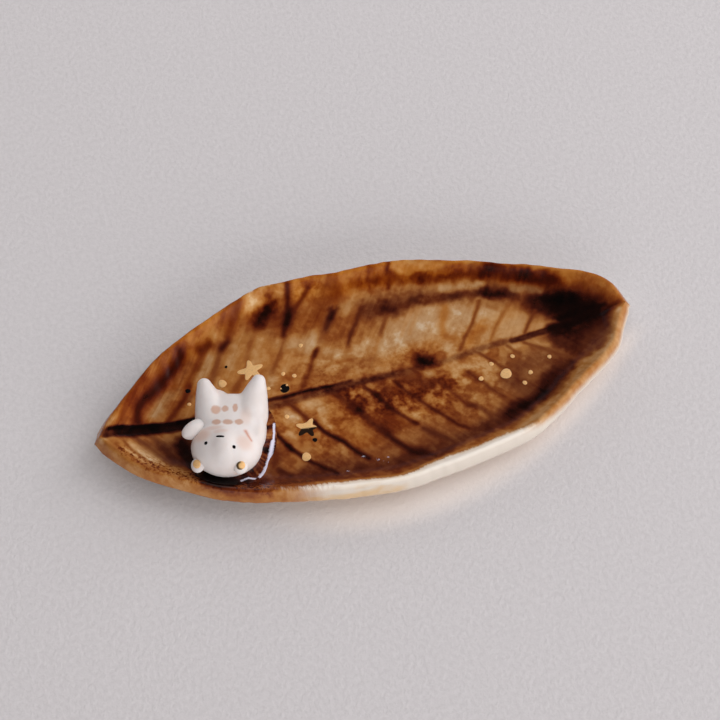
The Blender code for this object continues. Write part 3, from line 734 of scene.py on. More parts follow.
FAR_VEINS = (
    Brush(((-58.8, 3.2), (-57.2, 6), (-55.4, 8.4), (-53, 11), (-50.6, 13.2)), 0.7, 0.62, 0.95, 0.85),
    Brush(((-55, 2.6), (-54.2, 5.8), (-52.6, 7.8), (-49.4, 9.9), (-45.6, 12.6), (-43, 15), (-41, 17.8)),
          1.1, 0.85, 0.97, 0.97),
    Brush(((-48, 1.6), (-46, 3.6), (-44, 5.8), (-42.2, 8), (-41, 10)), 0.6, 0.70, 0.75, 0.9),
    Brush(((-42, 9.4), (-39.8, 12.4), (-38, 14.8), (-36, 17.2), (-34.6, 18.8)), 0.75, 0.62, 0.90, 0.85),
    Brush(((-36.4, 18), (-33.6, 19.2)), 0.75, 0.72, 0.80, 0.9),
    Brush(((-35.8, 9.6), (-33.6, 13), (-31.8, 16.4), (-30.8, 18.4)), 0.85, 0.50, 0.40, 0.85),
    Brush(((-31, 17.8), (-29.2, 19)), 0.75, 0.82, 0.40, 0.9),
    Brush(((-28.6, 20.6), (-26.6, 23.4), (-24.6, 26.4)), 1.1, 0.64, 0.75, 0.8),
    Brush(((-31.2, 5.6), (-28.6, 8), (-27, 11), (-25, 15), (-23.4, 18.6)), 0.65, 0.44, 0.55, 0.8),
    Brush(((-31, 6), (-29, 8)), 0.9, 0.52, 0.55, 0.7),
    Brush(((-15.4, 17.6), (-17.4, 14), (-19.4, 10.6), (-21.2, 7.6)), 0.6, 0.46, 0.50, 0.8),
    Brush(((-16, 17), (-14.8, 19.4), (-13.6, 22.2), (-12.8, 25), (-12.1, 28)), 0.65, 0.78, 0.50, 0.95),
    Brush(((-14.4, 19.8), (-12.6, 23)), 0.95, 0.90, 0.25, 1.0),
    Brush(((-11.8, 22.8), (-9.6, 24.8), (-7.2, 26.6)), 0.6, 0.70, 0.70, 0.9),
    Brush(((-9, 11), (-10.3, 9.3), (-11.8, 7), (-14, 4), (-15.4, 2), (-16.4, 1)), 0.5, 0.64, 0.60, 0.9),
    Brush(((-9.6, 10.4), (-10.2, 9.4)), 0.6, 0.78, 0.50, 0.8),
    Brush(((-14.2, 3.8), (-15.4, 2.4)), 0.65, 0.80, 0.50, 0.85),
    Brush(((-8, 13), (-6, 15.8)), 0.7, 0.46, 0.40, 0.7),
    Brush(((-5.4, 16), (-4.4, 18), (-2.8, 20.8)), 0.7, 0.68, 0.15, 0.95),
    Brush(((-4, 18.4), (-2.6, 20.6)), 0.75, 0.84, 0.10, 0.95),
    Brush(((-2.4, 21), (-1.6, 23), (-1.2, 25), (-1.6, 28)), 0.5, 0.46, 0.80, 0.8),
    Brush(((-1.4, 23.6), (0.2, 25.2)), 0.9, 0.58, 0.90, 0.85),
    Brush(((4.8, 19.4), (3, 17.4), (1.2, 15), (-0.5, 12.5), (-2, 10)), 0.5, 0.66, 0.35, 0.9),
    Brush(((-2.2, 9.6), (-5, 6)), 0.6, 0.36, 0.50, 0.6),
    Brush(((9.2, 15.2), (7.6, 12.6), (6.4, 10.4)), 0.55, 0.56, 0.40, 0.85),
    Brush(((6.2, 10), (3.4, 5.4)), 0.6, 0.36, 0.50, 0.6),
    Brush(((17, 14.6), (13, 9)), 0.45, 0.24, 0.45, 0.7),
    Brush(((15, 14.6), (11, 9)), 0.4, 0.22, 0.45, 0.6),
    Brush(((20.6, 6), (21.4, 9), (23.6, 13.4)), 0.9, 0.36, 0.80, 0.8),
    Brush(((21.4, 5), (22.8, 4.4)), 0.7, 0.40, 0.80, 0.7),
    Brush(((23.4, 1.2), (25.4, 4), (28, 6.6), (30.4, 10), (32, 13)), 0.5, 0.56, 0.55, 0.9),
    Brush(((31, 1.4), (33.4, 4.6), (36, 7.4), (38.2, 9.6)), 0.45, 0.42, 0.60, 0.85),
    Brush(((40, 1.4), (42, 4), (44.2, 6.6)), 0.5, 0.58, 0.45, 0.9),
    Brush(((-5.6, 6.2), (-2.8, 6.2)), 0.5, 0.46, 0.70, 0.8),
    Brush(((-9, 6), (-7.6, 6.2)), 0.45, 0.40, 0.60, 0.7),
    Brush(((-14, 2.8), (-9, 3), (-5.6, 2.6)), 1.5, 0.44, 0.60, 0.75),
    Brush(((5, 3), (9, 3.6)), 1.3, 0.40, 0.70, 0.6),
    Brush(((10.4, 3), (12.4, 3.6)), 0.5, 0.40, 0.50, 0.5),
)

NEAR_VEINS = (
    Brush(((-59.4, -1), (-58, -5), (-55.4, -8.6)), 0.32, 0.48, 0.40, 0.8),
    Brush(((-57, -0.6), (-54.4, -4), (-51.4, -8), (-50, -10)), 0.55, 0.54, 0.15, 0.85),
    Brush(((-53, -1.6), (-50.6, -5)), 0.5, 0.60, 0.05, 0.6),
    Brush(((-25, -7.6), (-23.9, -10.2), (-22.5, -12.7), (-20.8, -15), (-19, -17.4), (-17, -19.8),
           (-14, -22.4)),
          0.5, 0.84, 0.15, 0.95),
    Brush(((-23.2, -12), (-22.4, -13.2)), 0.5, 0.90, 0.1, 0.9),
    Brush(((-26.4, -17.4), (-24.4, -20)), 0.6, 0.76, 0.10, 0.7),
    Brush(((-19.4, -1.8), (-18, -4.4), (-16.6, -6.8)), 0.6, 0.62, 0.40, 1.0),
    Brush(((-15.4, -7.6), (-13.6, -10.6), (-11.8, -13), (-9.8, -15.6), (-7.8, -18.2), (-5.8, -20.6)),
          0.5, 0.84, 0.20, 1.0),
    Brush(((-8.8, -1.6), (-7.2, -4), (-5.8, -6.2), (-4.6, -8)), 0.7, 0.66, 0.45, 0.9),
    Brush(((-4.6, -7.8), (-3.8, -8.6)), 0.7, 0.86, 0.30, 0.9),
    Brush(((-3.6, -9.6), (-1.8, -12.6), (0, -15.4)), 0.7, 0.72, 0.45, 0.9),
    Brush(((-1.2, -13.2), (-0.4, -14.4)), 0.6, 0.74, 0.35, 0.7),
    Brush(((0.2, -15.8), (2.2, -18.8), (4.2, -21), (6.4, -22.6), (9, -24.4)), 0.6, 0.78, 0.12, 0.95),
    Brush(((4.4, -21.6), (6.8, -22.8)), 0.8, 0.82, 0.10, 0.9, 1.4),
    Brush(((-1.4, -2.4), (0.6, -5.2), (2.4, -8), (4.4, -11), (6, -13.2), (7.6, -15)), 0.52, 0.78,
          0.40, 0.95),
    Brush(((8.6, -16.8), (10.6, -19), (13, -20.8)), 0.75, 0.68, 0.15, 0.85),
    Brush(((5.6, -2.6), (7, -5), (9.4, -8.4), (11, -10.6), (12.6, -12.6), (14.4, -14.8), (17, -18),
           (19, -19.6)),
          0.5, 0.74, 0.45, 0.9),
    Brush(((15, -5), (17, -8), (19.4, -12), (21, -14)), 0.55, 0.62, 0.55, 0.85),
    Brush(((20.6, -13.8), (22, -14.4)), 0.7, 0.74, 0.40, 0.9),
    Brush(((22.4, -14.8), (25, -18)), 0.6, 0.60, 0.30, 0.8),
    Brush(((23.6, -5), (25, -8), (27.4, -11), (29.6, -14)), 0.55, 0.60, 0.40, 0.9),
    Brush(((27.6, -1), (29.4, -3.4), (31.4, -6), (33.6, -8.6)), 0.45, 0.58, 0.35, 0.9),
    Brush(((34.4, -1), (36.6, -4)), 0.4, 0.50, 0.35, 0.8),
    Brush(((39, -1.2), (41.4, -3.4), (44, -5.4), (48, -8.4), (52, -10)), 0.5, 0.54, 0.30, 0.85),
    Brush(((2.4, -2.4), (3.8, -4.6)), 0.9, 0.58, 0.50, 0.7),
    Brush(((8.6, -2), (11.6, -4), (13, -5.4)), 1.5, 0.62, 0.45, 0.75),
    Brush(((-1.2, -10.6), (-0.4, -11.6)), 0.9, 0.60, 0.70, 0.7),
    Brush(((2, -12), (4.4, -13.6)), 1.2, 0.60, 0.75, 0.8),
)

MIDRIB = (
    Brush(((-62.5, 0.4), (-56, 0.2), (-48, -0.1), (-40, 0)), 1.35, 0.80, 0.05, 1.0, 4),
    Brush(((-63, 0.9), (-59, 0.6)), 1.1, 0.66, 0.05, 0.7),
    Brush(((-60, 0.4), (-56, 0.1), (-48, -0.3), (-38, -0.3)), 1.15, 0.93, 0.0, 0.95, 3),
    Brush(((-62, 1.4), (-56, 1.1), (-48, 0.9), (-36, 0.9)), 0.6, 0.98, 0.0, 1.0, 3),
    Brush(((-27, -0.8), (-16, -0.8), (-8, -0.7)), 1.1, 0.58, 0.20, 0.95, 4),
    Brush(((-27, 0.8), (-20, 0.7), (-12, 0.5), (-4, 0.3)), 0.5, 0.88, 0.10, 0.95, 3),
    Brush(((-10, -0.6), (-2, -0.5), (6, -0.6)), 1.1, 0.72, 0.15, 0.9, 3),
    Brush(((6, -0.6), (12, -1.0)), 1.0, 0.60, 0.20, 0.8, 3),
    Brush(((17, -0.6), (22, -0.5)), 1.0, 0.46, 0.25, 0.9, 3),
    Brush(((22, -0.4), (28, 0)), 1.0, 0.50, 0.25, 0.9, 3),
    Brush(((28, 0.1), (36, 0.2)), 0.8, 0.48, 0.20, 0.95, 3),
    Brush(((37, 0.5), (46, 0.6)), 0.4, 0.84, 0.05, 0.9),
    Brush(((36, 0), (44, 0), (48, 0.2)), 0.65, 0.70, 0.05, 1.0, 3),
    Brush(((46, 0.5), (52, 0.4), (59, 0.2)), 1.4, 0.93, 0.0, 1.0, 3),
    Brush(((59, 0.4), (63, 0.4)), 0.7, 0.72, 0.50, 0.8),
    Brush(((12.6, 3), (14.6, 2.4), (17, 3.2)), 2.9, 0.46, 0.80, 0.85),
    Brush(((13.8, 1.2), (15, 1)), 2.0, 0.72, 0.55, 0.9),
    Brush(((14.2, 0.3), (14.8, 0.1)), 1.45, 0.95, 0.2, 0.95, 1.8),
    Brush(((16.6, 3), (18, 5)), 0.7, 0.52, 0.70, 0.6),
)

CHIPS = (
    Brush(((-28.2, 26.4), (-26.2, 27.2)), 0.55, 1.0, 0.0, 0.8),
    Brush(((-31.4, 25), (-30.4, 25.4)), 0.4, 1.0, 0.0, 0.6),
    Brush(((-17.4, 29.2), (-15.6, 29.4)), 0.45, 1.0, 0.0, 0.7),
    Brush(((-22, 28.4), (-20.6, 28.6)), 0.4, 1.0, 0.0, 0.6),
)

# Painted highlight: small glints along the near wall's foot, laid as lavender-white colour.
PAINTED_GLINTS = (
    Brush(((-7.3, -19.5), (-6.7, -19.8)), 0.3, 1.0, 0.0, 0.5),
    Brush(((-4.2, -21.2), (-3.7, -21.6)), 0.3, 1.0, 0.0, 0.5),
    Brush(((-3.1, -21.9), (-2.9, -22.2)), 0.25, 1.0, 0.0, 0.5),
    Brush(((-2.0, -22.2), (-1.6, -22.9)), 0.3, 1.0, 0.0, 0.5),
    Brush(((-11.7, -22.3), (-10.8, -22.7)), 0.3, 1.0, 0.0, 0.5),
    Brush(((-1.6, -21.4), (-1.3, -21.6)), 0.25, 1.0, 0.0, 0.5),
)

WASHES = FAR_GROUND + NEAR_GROUND + FAR_RIM + NEAR_RIM + FAR_POOLS + NEAR_POOLS + PANES_AND_SHEEN
VEINS = FAR_VEINS + NEAR_VEINS

TEXTURES = {
    "mottle": (
        0.12,
        (
            Brush(((-4, -4), (4, -8), (12, -8), (20, -7)), 6, 0.42, 0.0),
            Brush(((-22, -6), (-12, -8), (-14, -16)), 4.5, 0.26, 0.0),
            Brush(((22, -14), (30, -4)), 4, 0.26, 0.0),
            Brush(((-22, 26), (-14, 27), (-6, 26)), 2.5, 0.22, 0.0),
            Brush(((-20, 6), (-8, 5), (8, 4), (24, 4)), 4, 0.22, 0.0),
            Brush(((44, 5), (56, 2)), 7, 0.04, 0.0),
            Brush(((-46, -8), (-38, -19)), 3.5, 0.04, 0.0),
            Brush(((28, -19), (42, -13)), 3, 0.08, 0.0),
        ),
    ),
    "comb": (
        0.05,
        (
            Brush(((-60, 5), (-50, 10), (-40, 16)), 7, 0.12, 0.0),
            Brush(((-58, -4), (-52, -8)), 4, 0.12, 0.0),
            Brush(((2, 24), (20, 22), (40, 16)), 2.4, 0.05, 0.0),
            Brush(((46, 5), (56, 2)), 7, 0.03, 0.0),
        ),
    ),
    "speck": (
        0.0,
        (
            Brush(((-60, -5), (-52, -12), (-42, -18.4), (-30, -23)), 1.6, 0.40, 0.0),
            Brush(((-12, 2), (-8, 4)), 3, 0.14, 0.0),
            Brush(((7, 3), (10, 4)), 2.5, 0.12, 0.0),
        ),
    ),
    "toast": (0.0, (Brush(((-24, -28), (-12, -30), (-1, -30.8)), 1.2, 0.75, 0.0),)),
}


@dataclass
class LeafDish:
    """The dish: the pressed leaf slab and the stain that lies under its glaze."""

    form: LeafForm = field(default_factory=LeafForm)
    row_gap: float = 0.42
    vein_rows: tuple[float, ...] = (-1.0, -0.66, -0.33, 0.0, 0.33, 0.66, 1.0)
    row_gap_min: float = 0.12
    midrib_columns: int = 4
    floor_columns: int = 44
    wall_columns: int = 22
    under_columns: int = 8
    edge_steps: int = 8
    ground: Pair = (0.34, 0.55)
    loose: Pairs = ((0.2, 0.9), (0.7, 0.55))
    drawn: Pairs = ((0.17, 0.45), (0.6, 0.14))
    seed: int = 7
    stroke_weight: float = 1.25
    crest_share: float = 0.4
    roll_under: float = 0.38
    roll_depth: float = 0.4
    fringe: Pair = (1.5, 0.2)
    fringe_stain: float = 0.24
    fringe_warmth: float = 0.50
    fringe_cover: float = 0.85
    calm: float = 0.7
    border: Pair = (-1.1, 0.8)
    stained_end: Pair = (24.0, 44.0)
    stained_drop: float = 0.22
    bare_from: float = 0.05
    bare_run: float = 0.45
    far_bare: Pair = (0.45, 0.8)
    underneath: float = 1.5
    chip_fade: Pair = (0.55, 0.15)
    singe: Pair = (-2.2, 0.3)
    singe_share: float = 0.75
    singe_depth: float = 0.3
    fray: Pair = (1.3, 1.1)
    fray_end: Pair = (28.0, 38.0)
    fray_depth: Pair = (0.1, 0.4)
    # Where the near crest's inner band is painted paler: painted light on a band that faces away from
    # the lamps.
    painted_crest_light: Pair = (0.6, -0.8)
    painted_crest_light_depth: Pair = (0.5, 0.1)
    inland: float = 9.0
    bare_ends: Pair = (-33.0, -10.0)
    bare_line: Pairs = (
        (-24, 1.6), (-18, 2.1), (-10, 2.0), (-5, 1.4), (1, 1.1), (6, 2.0), (12, 2.5), (18, 2.0),
        (24, 2.1), (29, 1.6), (33, 0.3), (37, -0.6),
    )

    def row_roots(self) -> Array:
        """Where the mesh's rows leave the midrib: close together over each vein.

        Returns:
            Places along the midrib, from the stalk end to the point.
        """
        form = self.form
        half = form.vein_width / 2 / math.sin(form.lean)
        veins = np.concatenate([form.far.roots(), form.near.roots()])
        marks = sorted(vein + step * half for vein in veins for step in self.vein_rows)
        end = form.length / 2
        rows = [-end]
        for mark in [vein for vein in marks if vein < end - self.row_gap_min] + [end]:
            gap = mark - rows[-1]
            if gap < self.row_gap_min:
                continue
            pieces = math.ceil(gap / self.row_gap)
            start = rows[-1]
            rows.extend(start + gap * (step + 1) / pieces for step in range(pieces))
        return np.array(rows)

    def runs(self, reach: Array, lean: Array) -> Array:
        """Distances of the upper columns along each row, from the midrib to the rim.

        Args:
            reach: How far each row runs.
            lean: Its angle to the midrib.

        Returns:
            The distances, by row and by column.
        """
        form = self.form
        start = np.minimum(form.midrib_width / 2 / np.sin(lean), reach * 0.2)
        wall = np.minimum(form.wall / np.sin(lean), reach * form.wall_run_share)
        foot = np.maximum(reach - wall, start)
        stretches = (
            (np.zeros_like(start), start, self.midrib_columns),
            (start, foot, self.floor_columns),
            (foot, reach, self.wall_columns),
        )
        columns = [
            low + (high - low) * step / count
            for low, high, count in stretches
            for step in range(count)
        ]
        return np.stack(columns + [reach], axis=1)

    def half_ring(self, roots: Array, way: int) -> tuple[Array, Array]:
        """One side of every row, from the midrib over the rim to the foot underneath.

        Args:
            roots: Where the rows leave the midrib.
            way: 1 for the far side and -1 for the near one.

        Returns:
            The points, and how deep each one is under the rim: 0 on top, up to 1 down the cut
            edge, and 2 underneath.
        """
        form = self.form
        along, across, reach = form.rays(roots, way)
        rim_x = roots + along * reach
        rim = np.stack([rim_x, across * reach, np.full_like(reach, form.rim)], -1)
        outward = np.stack([-form.slope(rim_x, way), np.full_like(rim_x, way)], -1)
        outward /= np.linalg.norm(outward, axis=-1, keepdims=True)
        tip = reach < form.edge_round
        outward[tip] = np.stack([np.sign(roots[tip]), 0 * roots[tip]], -1)
        square_on = np.clip(along * outward[:, 0] + across * outward[:, 1], 0.3, 1.0)
        crest_run = np.minimum(form.edge_inset / square_on, reach * 0.25)
        runs = self.runs(reach - crest_run, form.ray_lean(roots))
        x = roots[:, None] + along[:, None] * runs
        y = across[:, None] * runs
        inward = np.broadcast_to(-outward[:, None, :], x.shape + (2,))
        level = form.height(x, y, way)
        share = runs / np.maximum(reach, 1e-6)[:, None]
        top = level - form.vein_press(roots, way, share) - form.midrib_press(y)
        upper = np.stack([x, y, top], -1)
        normal = form.normal(x, y, inward, way)
        under = np.stack([x, y, level], -1) - normal * form.thickness
        under[..., 2] = np.where(under[..., 2] > form.foot_snap, under[..., 2], 0.0)
        wall_foot = self.midrib_columns + self.floor_columns
        picks = np.linspace(wall_foot, under.shape[1] - 1, self.under_columns)
        lower = under[:, picks.round().astype(int)][:, ::-1]
        blend = np.zeros_like(rim_x)
        if way > 0:
            blend = smoothstep(0.0, form.far_tilt_fade, form.length / 2 - np.abs(rim_x))
        tilt = form.edge_tilt + (form.far_edge_tilt - form.edge_tilt) * blend
        edge, depth = self.cut_edge(upper[:, -1], rim, outward, normal[:, -1], tilt[:, None])
        ring = np.concatenate([upper[:, :-1], edge, lower[:, 1:]], axis=1)
        down = np.concatenate([np.zeros(upper.shape[1] - 1), depth, np.full(lower.shape[1] - 1, 2.0)])
        return ring, np.broadcast_to(down, ring.shape[:2])

    def cut_edge(
        self, top: Array, rim: Array, outward: Array, normal: Array, tilt: Array
    ) -> tuple[Array, Array]:
        """The slab's cut edge, rolled over softly at its crest and under it.

        Args:
            top: Where the roll starts on the upper surface.
            rim: The outline, at the rim's height.
            outward: The outline's outward direction in plan.
            normal: The upper surface's normal.
            tilt: How far the edge leans out towards its foot.

        Returns:
            The points from the top down, and how far down the edge each one is.
        """
        form = self.form
        across = np.concatenate([outward, np.zeros((len(outward), 1))], axis=1)
        up = np.array([0.0, 0.0, 1.0])
        face = across * np.sin(tilt) - up * np.cos(tilt)
        slab = np.cross(np.cross(across, up), normal)
        slab /= np.linalg.norm(slab, axis=-1, keepdims=True)
        slab *= np.where((slab * across).sum(-1, keepdims=True) > 0, 1, -1)
        depth = form.thickness / np.maximum(-(face * normal).sum(-1, keepdims=True), 0.5)
        low = rim + across * form.edge_lip + face * depth
        crest = rim + across * form.edge_lip * self.crest_share
        fall = low - crest
        points, down = [], []
        corners = (
            (top, crest, crest + fall * form.edge_roll, 0.0),
            (low - fall * self.roll_under, low, low - slab * form.edge_round, 1.0),
        )
        for start, corner, end, level in corners:
            for step in range(self.edge_steps + 1):
                turn = step / self.edge_steps
                middle = corner * 2 * turn * (1 - turn)
                points.append(start * (1 - turn) ** 2 + middle + end * turn**2)
                down.append(level + (turn - 1 if level else turn) * self.roll_depth)
        return np.stack(points, axis=1), np.clip(np.array(down), 0, 1)

    def wander(self, x: Array, y: Array, steps: Pairs) -> tuple[Array, Array]:
        """Places moved a little, so that a stroke's border is not ruler-straight.

        Blender seeds its vector noise by the clock, so it is seeded here to draw the same border
        on each run.

        Args:
            x: Places along the midrib.
            y: Places across it.
            steps: For each layer of waver, how fine it is and how far it reaches.

        Returns:
            The moved places.
        """
        noise.seed_set(self.seed)
        moved = np.stack([x, y], -1)
        for scale, reach in steps:
            shift = [noise.noise_vector((px * scale, py * scale, 7.3)) for px, py in zip(x, y)]
            moved += reach * np.array([(step.x, step.y) for step in shift])
        return moved[:, 0], moved[:, 1]

    def stained(self, x: Array, y: Array) -> dict[str, Array]:
        """What the brushes leave under the glaze.

        Args:
            x: Places along the midrib.
            y: Places across it.

        Returns:
            The stain's density and warmth, and how strongly each texture breaks it up, by name.
        """
        density, warmth = (np.full(x.shape, value) for value in self.ground)
        loose = self.wander(x, y, self.loose)
        drawn = self.wander(x, y, self.drawn)
        layers = ((WASHES, loose, 1.0), (VEINS, drawn, self.stroke_weight), (MIDRIB, drawn, 1.0))
        inked = np.zeros(x.shape)
        for brushes, (px, py), weight in layers:
            for brush in brushes:
                cover = brush.cover(px, py, weight)
                inked = np.maximum(inked, cover) if brushes is VEINS else inked
                density += (brush.density - density) * cover
                warmth += (brush.warmth - warmth) * cover
        fringe = smoothstep(*self.fringe, self.above_bare(x, y)) * smoothstep(*self.bare_ends, x)
        density += (self.fringe_stain - density) * fringe * self.fringe_cover
        warmth += (self.fringe_warmth - warmth) * fringe * self.fringe_cover
        values = {"stain": density, "warmth": warmth}
        for name, (start, brushes) in TEXTURES.items():
            amount = np.full(x.shape, start)
            for brush in brushes:
                amount += (brush.density - amount) * brush.cover(*loose)
            values[name] = amount * (1 - self.calm * inked)
        return values

    def above_bare(self, x: Array, y: Array) -> Array:
        """How far inside the glaze's near border a place is; far from it on the far side."""
        line = np.array(self.bare_line, float)
        inside = self.form.inset(x, y, -1) - np.interp(x, line[:, 0], line[:, 1])
        return np.where(y < 0, inside, self.inland)

    def bareness(self, x: Array, y: Array, down: Array) -> Array:
        """Where the clay shows cream at the near rim and on the cut edge.

        Args:
            x: Places along the midrib.
            y: Places across it.
            down: How deep each point is under the rim, as half_ring gives it.

        Returns:
            How bare the clay is, 0 to 1.
        """
        stained_end = smoothstep(*self.stained_end, x)
        top = (1 - smoothstep(*self.border, self.above_bare(x, y))) * (1 - stained_end)
        lower = self.stained_drop * stained_end
        near = smoothstep(0.0, 1.0, (down - self.bare_from - lower) / (self.bare_run + lower))
        edge = np.where(y < 0, near, smoothstep(*self.far_bare, down))
        ends = smoothstep(*self.bare_ends, x)
        under = (down > self.underneath).astype(float)
        chips = np.max([chip.cover(x, y) for chip in CHIPS], axis=0)
        chips *= smoothstep(*self.chip_fade, down)
        return np.maximum.reduce([np.maximum(top, edge) * ends, under, chips])

    def build(self, material: Material) -> Piece:
        """Shape the slab from a grid, paint its stain and dress it.

        Args:
            material: The glaze.

        Returns:
            The dish.
        """
        roots = self.row_roots()
        far, far_down = self.half_ring(roots, 1)
        near, near_down = self.half_ring(roots, -1)
        ring = np.concatenate([far, near[:, :0:-1], far[:, :1]], axis=1)
        down = np.concatenate([far_down, near_down[:, :0:-1], far_down[:, :1]], axis=1)
        rows, columns = ring.shape[:2]
        dish = primitive_grid("leaf_dish_glazed", columns - 1, rows - 1)
        flat = positions(dish)
        column = np.rint((flat[:, 0] + 1) / 2 * (columns - 1)).astype(int)
        row = np.rint((flat[:, 1] + 1) / 2 * (rows - 1)).astype(int)
        places, deep = ring[row, column], down[row, column]
        set_positions(dish, places)
        x, y = places[:, 0], places[:, 1]
        above = self.above_bare(x, y)
        painted = self.stained(x, y)
        singed = smoothstep(*self.singe, above) * smoothstep(*self.bare_ends, x)
        singed = self.singe_share * singed * (deep < self.singe_depth)
        painted["toast"] = np.maximum(painted["toast"], singed)
        even = np.maximum(smoothstep(*self.fray_end, x), smoothstep(*self.fray_depth, deep))
        painted["fray"] = self.fray[0] - self.fray[1] * even
        # Painted light: the near crest's inner band, which faces away from the lamps, is painted paler.
        painted["painted_crest_light"] = smoothstep(*self.painted_crest_light, above) * smoothstep(*self.painted_crest_light_depth, deep)
        # Painted highlight: the glints are painted into the glaze's colour as lavender white.
        painted["painted_highlight"] = np.max([glint.cover(x, y) for glint in PAINTED_GLINTS], axis=0)
        painted["bare"] = self.bareness(x, y, deep)
        for name, values in painted.items():
            paint(dish, name, values)
        lay_flow(dish, self.flow(places))
        seat_in_frame(dish)
        close_up(dish)
        return hand_over(dish, material, ("leaf_dish",))

    def flow(self, places: Array) -> Array:
        """How far across the veins and along them each point lies, in millimetres."""
        lean = self.form.lean
        across = places[:, 0] - np.abs(places[:, 1]) / math.tan(lean)
        return np.stack([across, places[:, 1] / math.sin(lean)], -1)


# ---------------------------------------------------------------- finishes


class Shader:
    """A material's or a group's node tree, built step by step."""

    def __init__(self, tree: Tree) -> None:
        """Work on a node tree."""
        self.tree = tree

    def feed(self, socket: Socket, value: Socket | float | Triple | Colour) -> None:
        """Link an input to another node's output, or set its value."""
        if isinstance(value, Socket):
            self.tree.links.new(value, socket)
        else:
            socket.default_value = value

    def add(self, kind: str, inputs: dict | None = None, **settings: object) -> bpy.types.Node:
        """Add a node, set its properties, and set or link its inputs.

        Args:
            kind: The node's type without its ShaderNode prefix.
            inputs: Values or output sockets, by the input's name or number.
            settings: The node's own properties.

        Returns:
            The node.
        """
        node = self.tree.nodes.new("ShaderNode" + kind)
        for name, value in settings.items():
            setattr(node, name, value)
        for name, value in (inputs or {}).items():
            self.feed(node.inputs[name], value)
        return node

    def math(
        self, operation: str, first: Socket | float, second: Socket | float, clamp: bool = False
    ) -> Socket:
        """One step of arithmetic."""
        node = self.add("Math", {0: first, 1: second}, operation=operation, use_clamp=clamp)
        return node.outputs[0]

    def times(self, first: Socket | float, second: Socket | float) -> Socket:
        """The product of two values."""
        return self.math("MULTIPLY", first, second)

    def plus(self, first: Socket | float, second: Socket | float, clamp: bool = False) -> Socket:
        """The sum of two values, kept within 0 and 1 if clamped."""
        return self.math("ADD", first, second, clamp)

    def minus(self, first: Socket | float, second: Socket | float) -> Socket:
        """The difference of two values."""
        return self.math("SUBTRACT", first, second)

    def mask(self, value: Socket, low: float, high: float) -> Socket:
        """A soft step from 0 at low to 1 at high."""
        sizes = {"Value": value, "From Min": low, "From Max": high}
        return self.add("MapRange", sizes, interpolation_type="SMOOTHSTEP").outputs["Result"]

    def span(self, value: Socket, low: float, high: float) -> Socket:
        """Stretch a value from 0 to 1 over low to high."""
        node = self.add("MapRange", {"Value": value, "To Min": low, "To Max": high})
        return node.outputs["Result"]

    def mix(self, factor: Socket, first: Socket | Colour, second: Socket | Colour) -> Socket:
        """Mix two colours.

        Args:
            factor: The second colour's share.
            first: The first colour.
            second: The second colour.

        Returns:
            The mixed colour.
        """
        node = self.add("Mix", data_type="RGBA", blend_type="MIX")
        ends = (("Factor", "VALUE", factor), ("A", "RGBA", first), ("B", "RGBA", second))
        for name, kind, value in ends:
            self.feed(next(s for s in node.inputs if (s.name, s.type) == (name, kind)), value)
        return next(s for s in node.outputs if s.type == "RGBA")

    def ramp(self, value: Socket, stops: Strip) -> Socket:
        """Read a value off a strip of colours.

        Args:
            value: The place on the strip, 0 to 1.
            stops: The strip's places and their colours.

        Returns:
            The colour.
        """
        node = self.add("ValToRGB", {"Fac": value})
        strip = node.color_ramp
        for index, (place, colour) in enumerate(stops):
            stop = strip.elements[index] if index < 2 else strip.elements.new(place)
            stop.position = place
            stop.color = colour
        return node.outputs["Color"]

    def bump(self, height: Socket, strength: float, reach: float) -> Socket:
        """Bend the surface's normal by a height that reaches some way in millimetres."""
        sizes = {"Height": height, "Strength": strength, "Distance": reach * MM}
        return self.add("Bump", sizes).outputs["Normal"]

    def painted(self, name: str) -> Socket:
        """A value painted on the piece."""
        return self.add("Attribute", attribute_name=name, attribute_type="GEOMETRY").outputs["Fac"]

    def place(self, scale: Triple = (1.0, 1.0, 1.0)) -> Socket:
        """Object coordinates, in millimetres times a scale."""
        where = self.add("TexCoord").outputs["Object"]
        sizes = tuple(part / MM for part in scale)
        return self.add("Mapping", {"Vector": where, "Scale": sizes}).outputs["Vector"]

    def flow(self, across: float, along: float) -> Socket:
        """Coordinates that follow the veins, stretched along them."""
        where = self.add("UVMap", uv_map=FLOW_MAP).outputs["UV"]
        return self.add("Mapping", {"Vector": where, "Scale": (across, along, 1.0)}).outputs["Vector"]

    def group(self, tree: Tree, **inputs: Socket | float) -> Socket:
        """Use a shared effect, and give its first output."""
        return self.add("Group", inputs, node_tree=tree).outputs[0]

    def noise(
        self, vector: Socket, scale: float, detail: float = 3.0, rough: float = 0.55, warp: float = 0.0
    ) -> Socket:
        """A noise texture's value, 0 to 1.

        Args:
            vector: Coordinates.
            scale: How fine it is.
            detail: How many finer layers it has.
            rough: How strong they are.
            warp: How far they are warped.

        Returns:
            The value.
        """
        sizes = {"Scale": scale, "Detail": detail, "Roughness": rough, "Distortion": warp}
        return self.add("TexNoise", {"Vector": vector, **sizes}).outputs["Fac"]


def new_material(name: str) -> tuple[Material, Shader, bpy.types.Node]:
    """Start a material.

    Args:
        name: The material's name.

    Returns:
        The material, a Shader on its tree, and its Principled BSDF.
    """
    material = bpy.data.materials.new(name)
    material.use_nodes = True
    return material, Shader(material.node_tree), material.node_tree.nodes["Principled BSDF"]


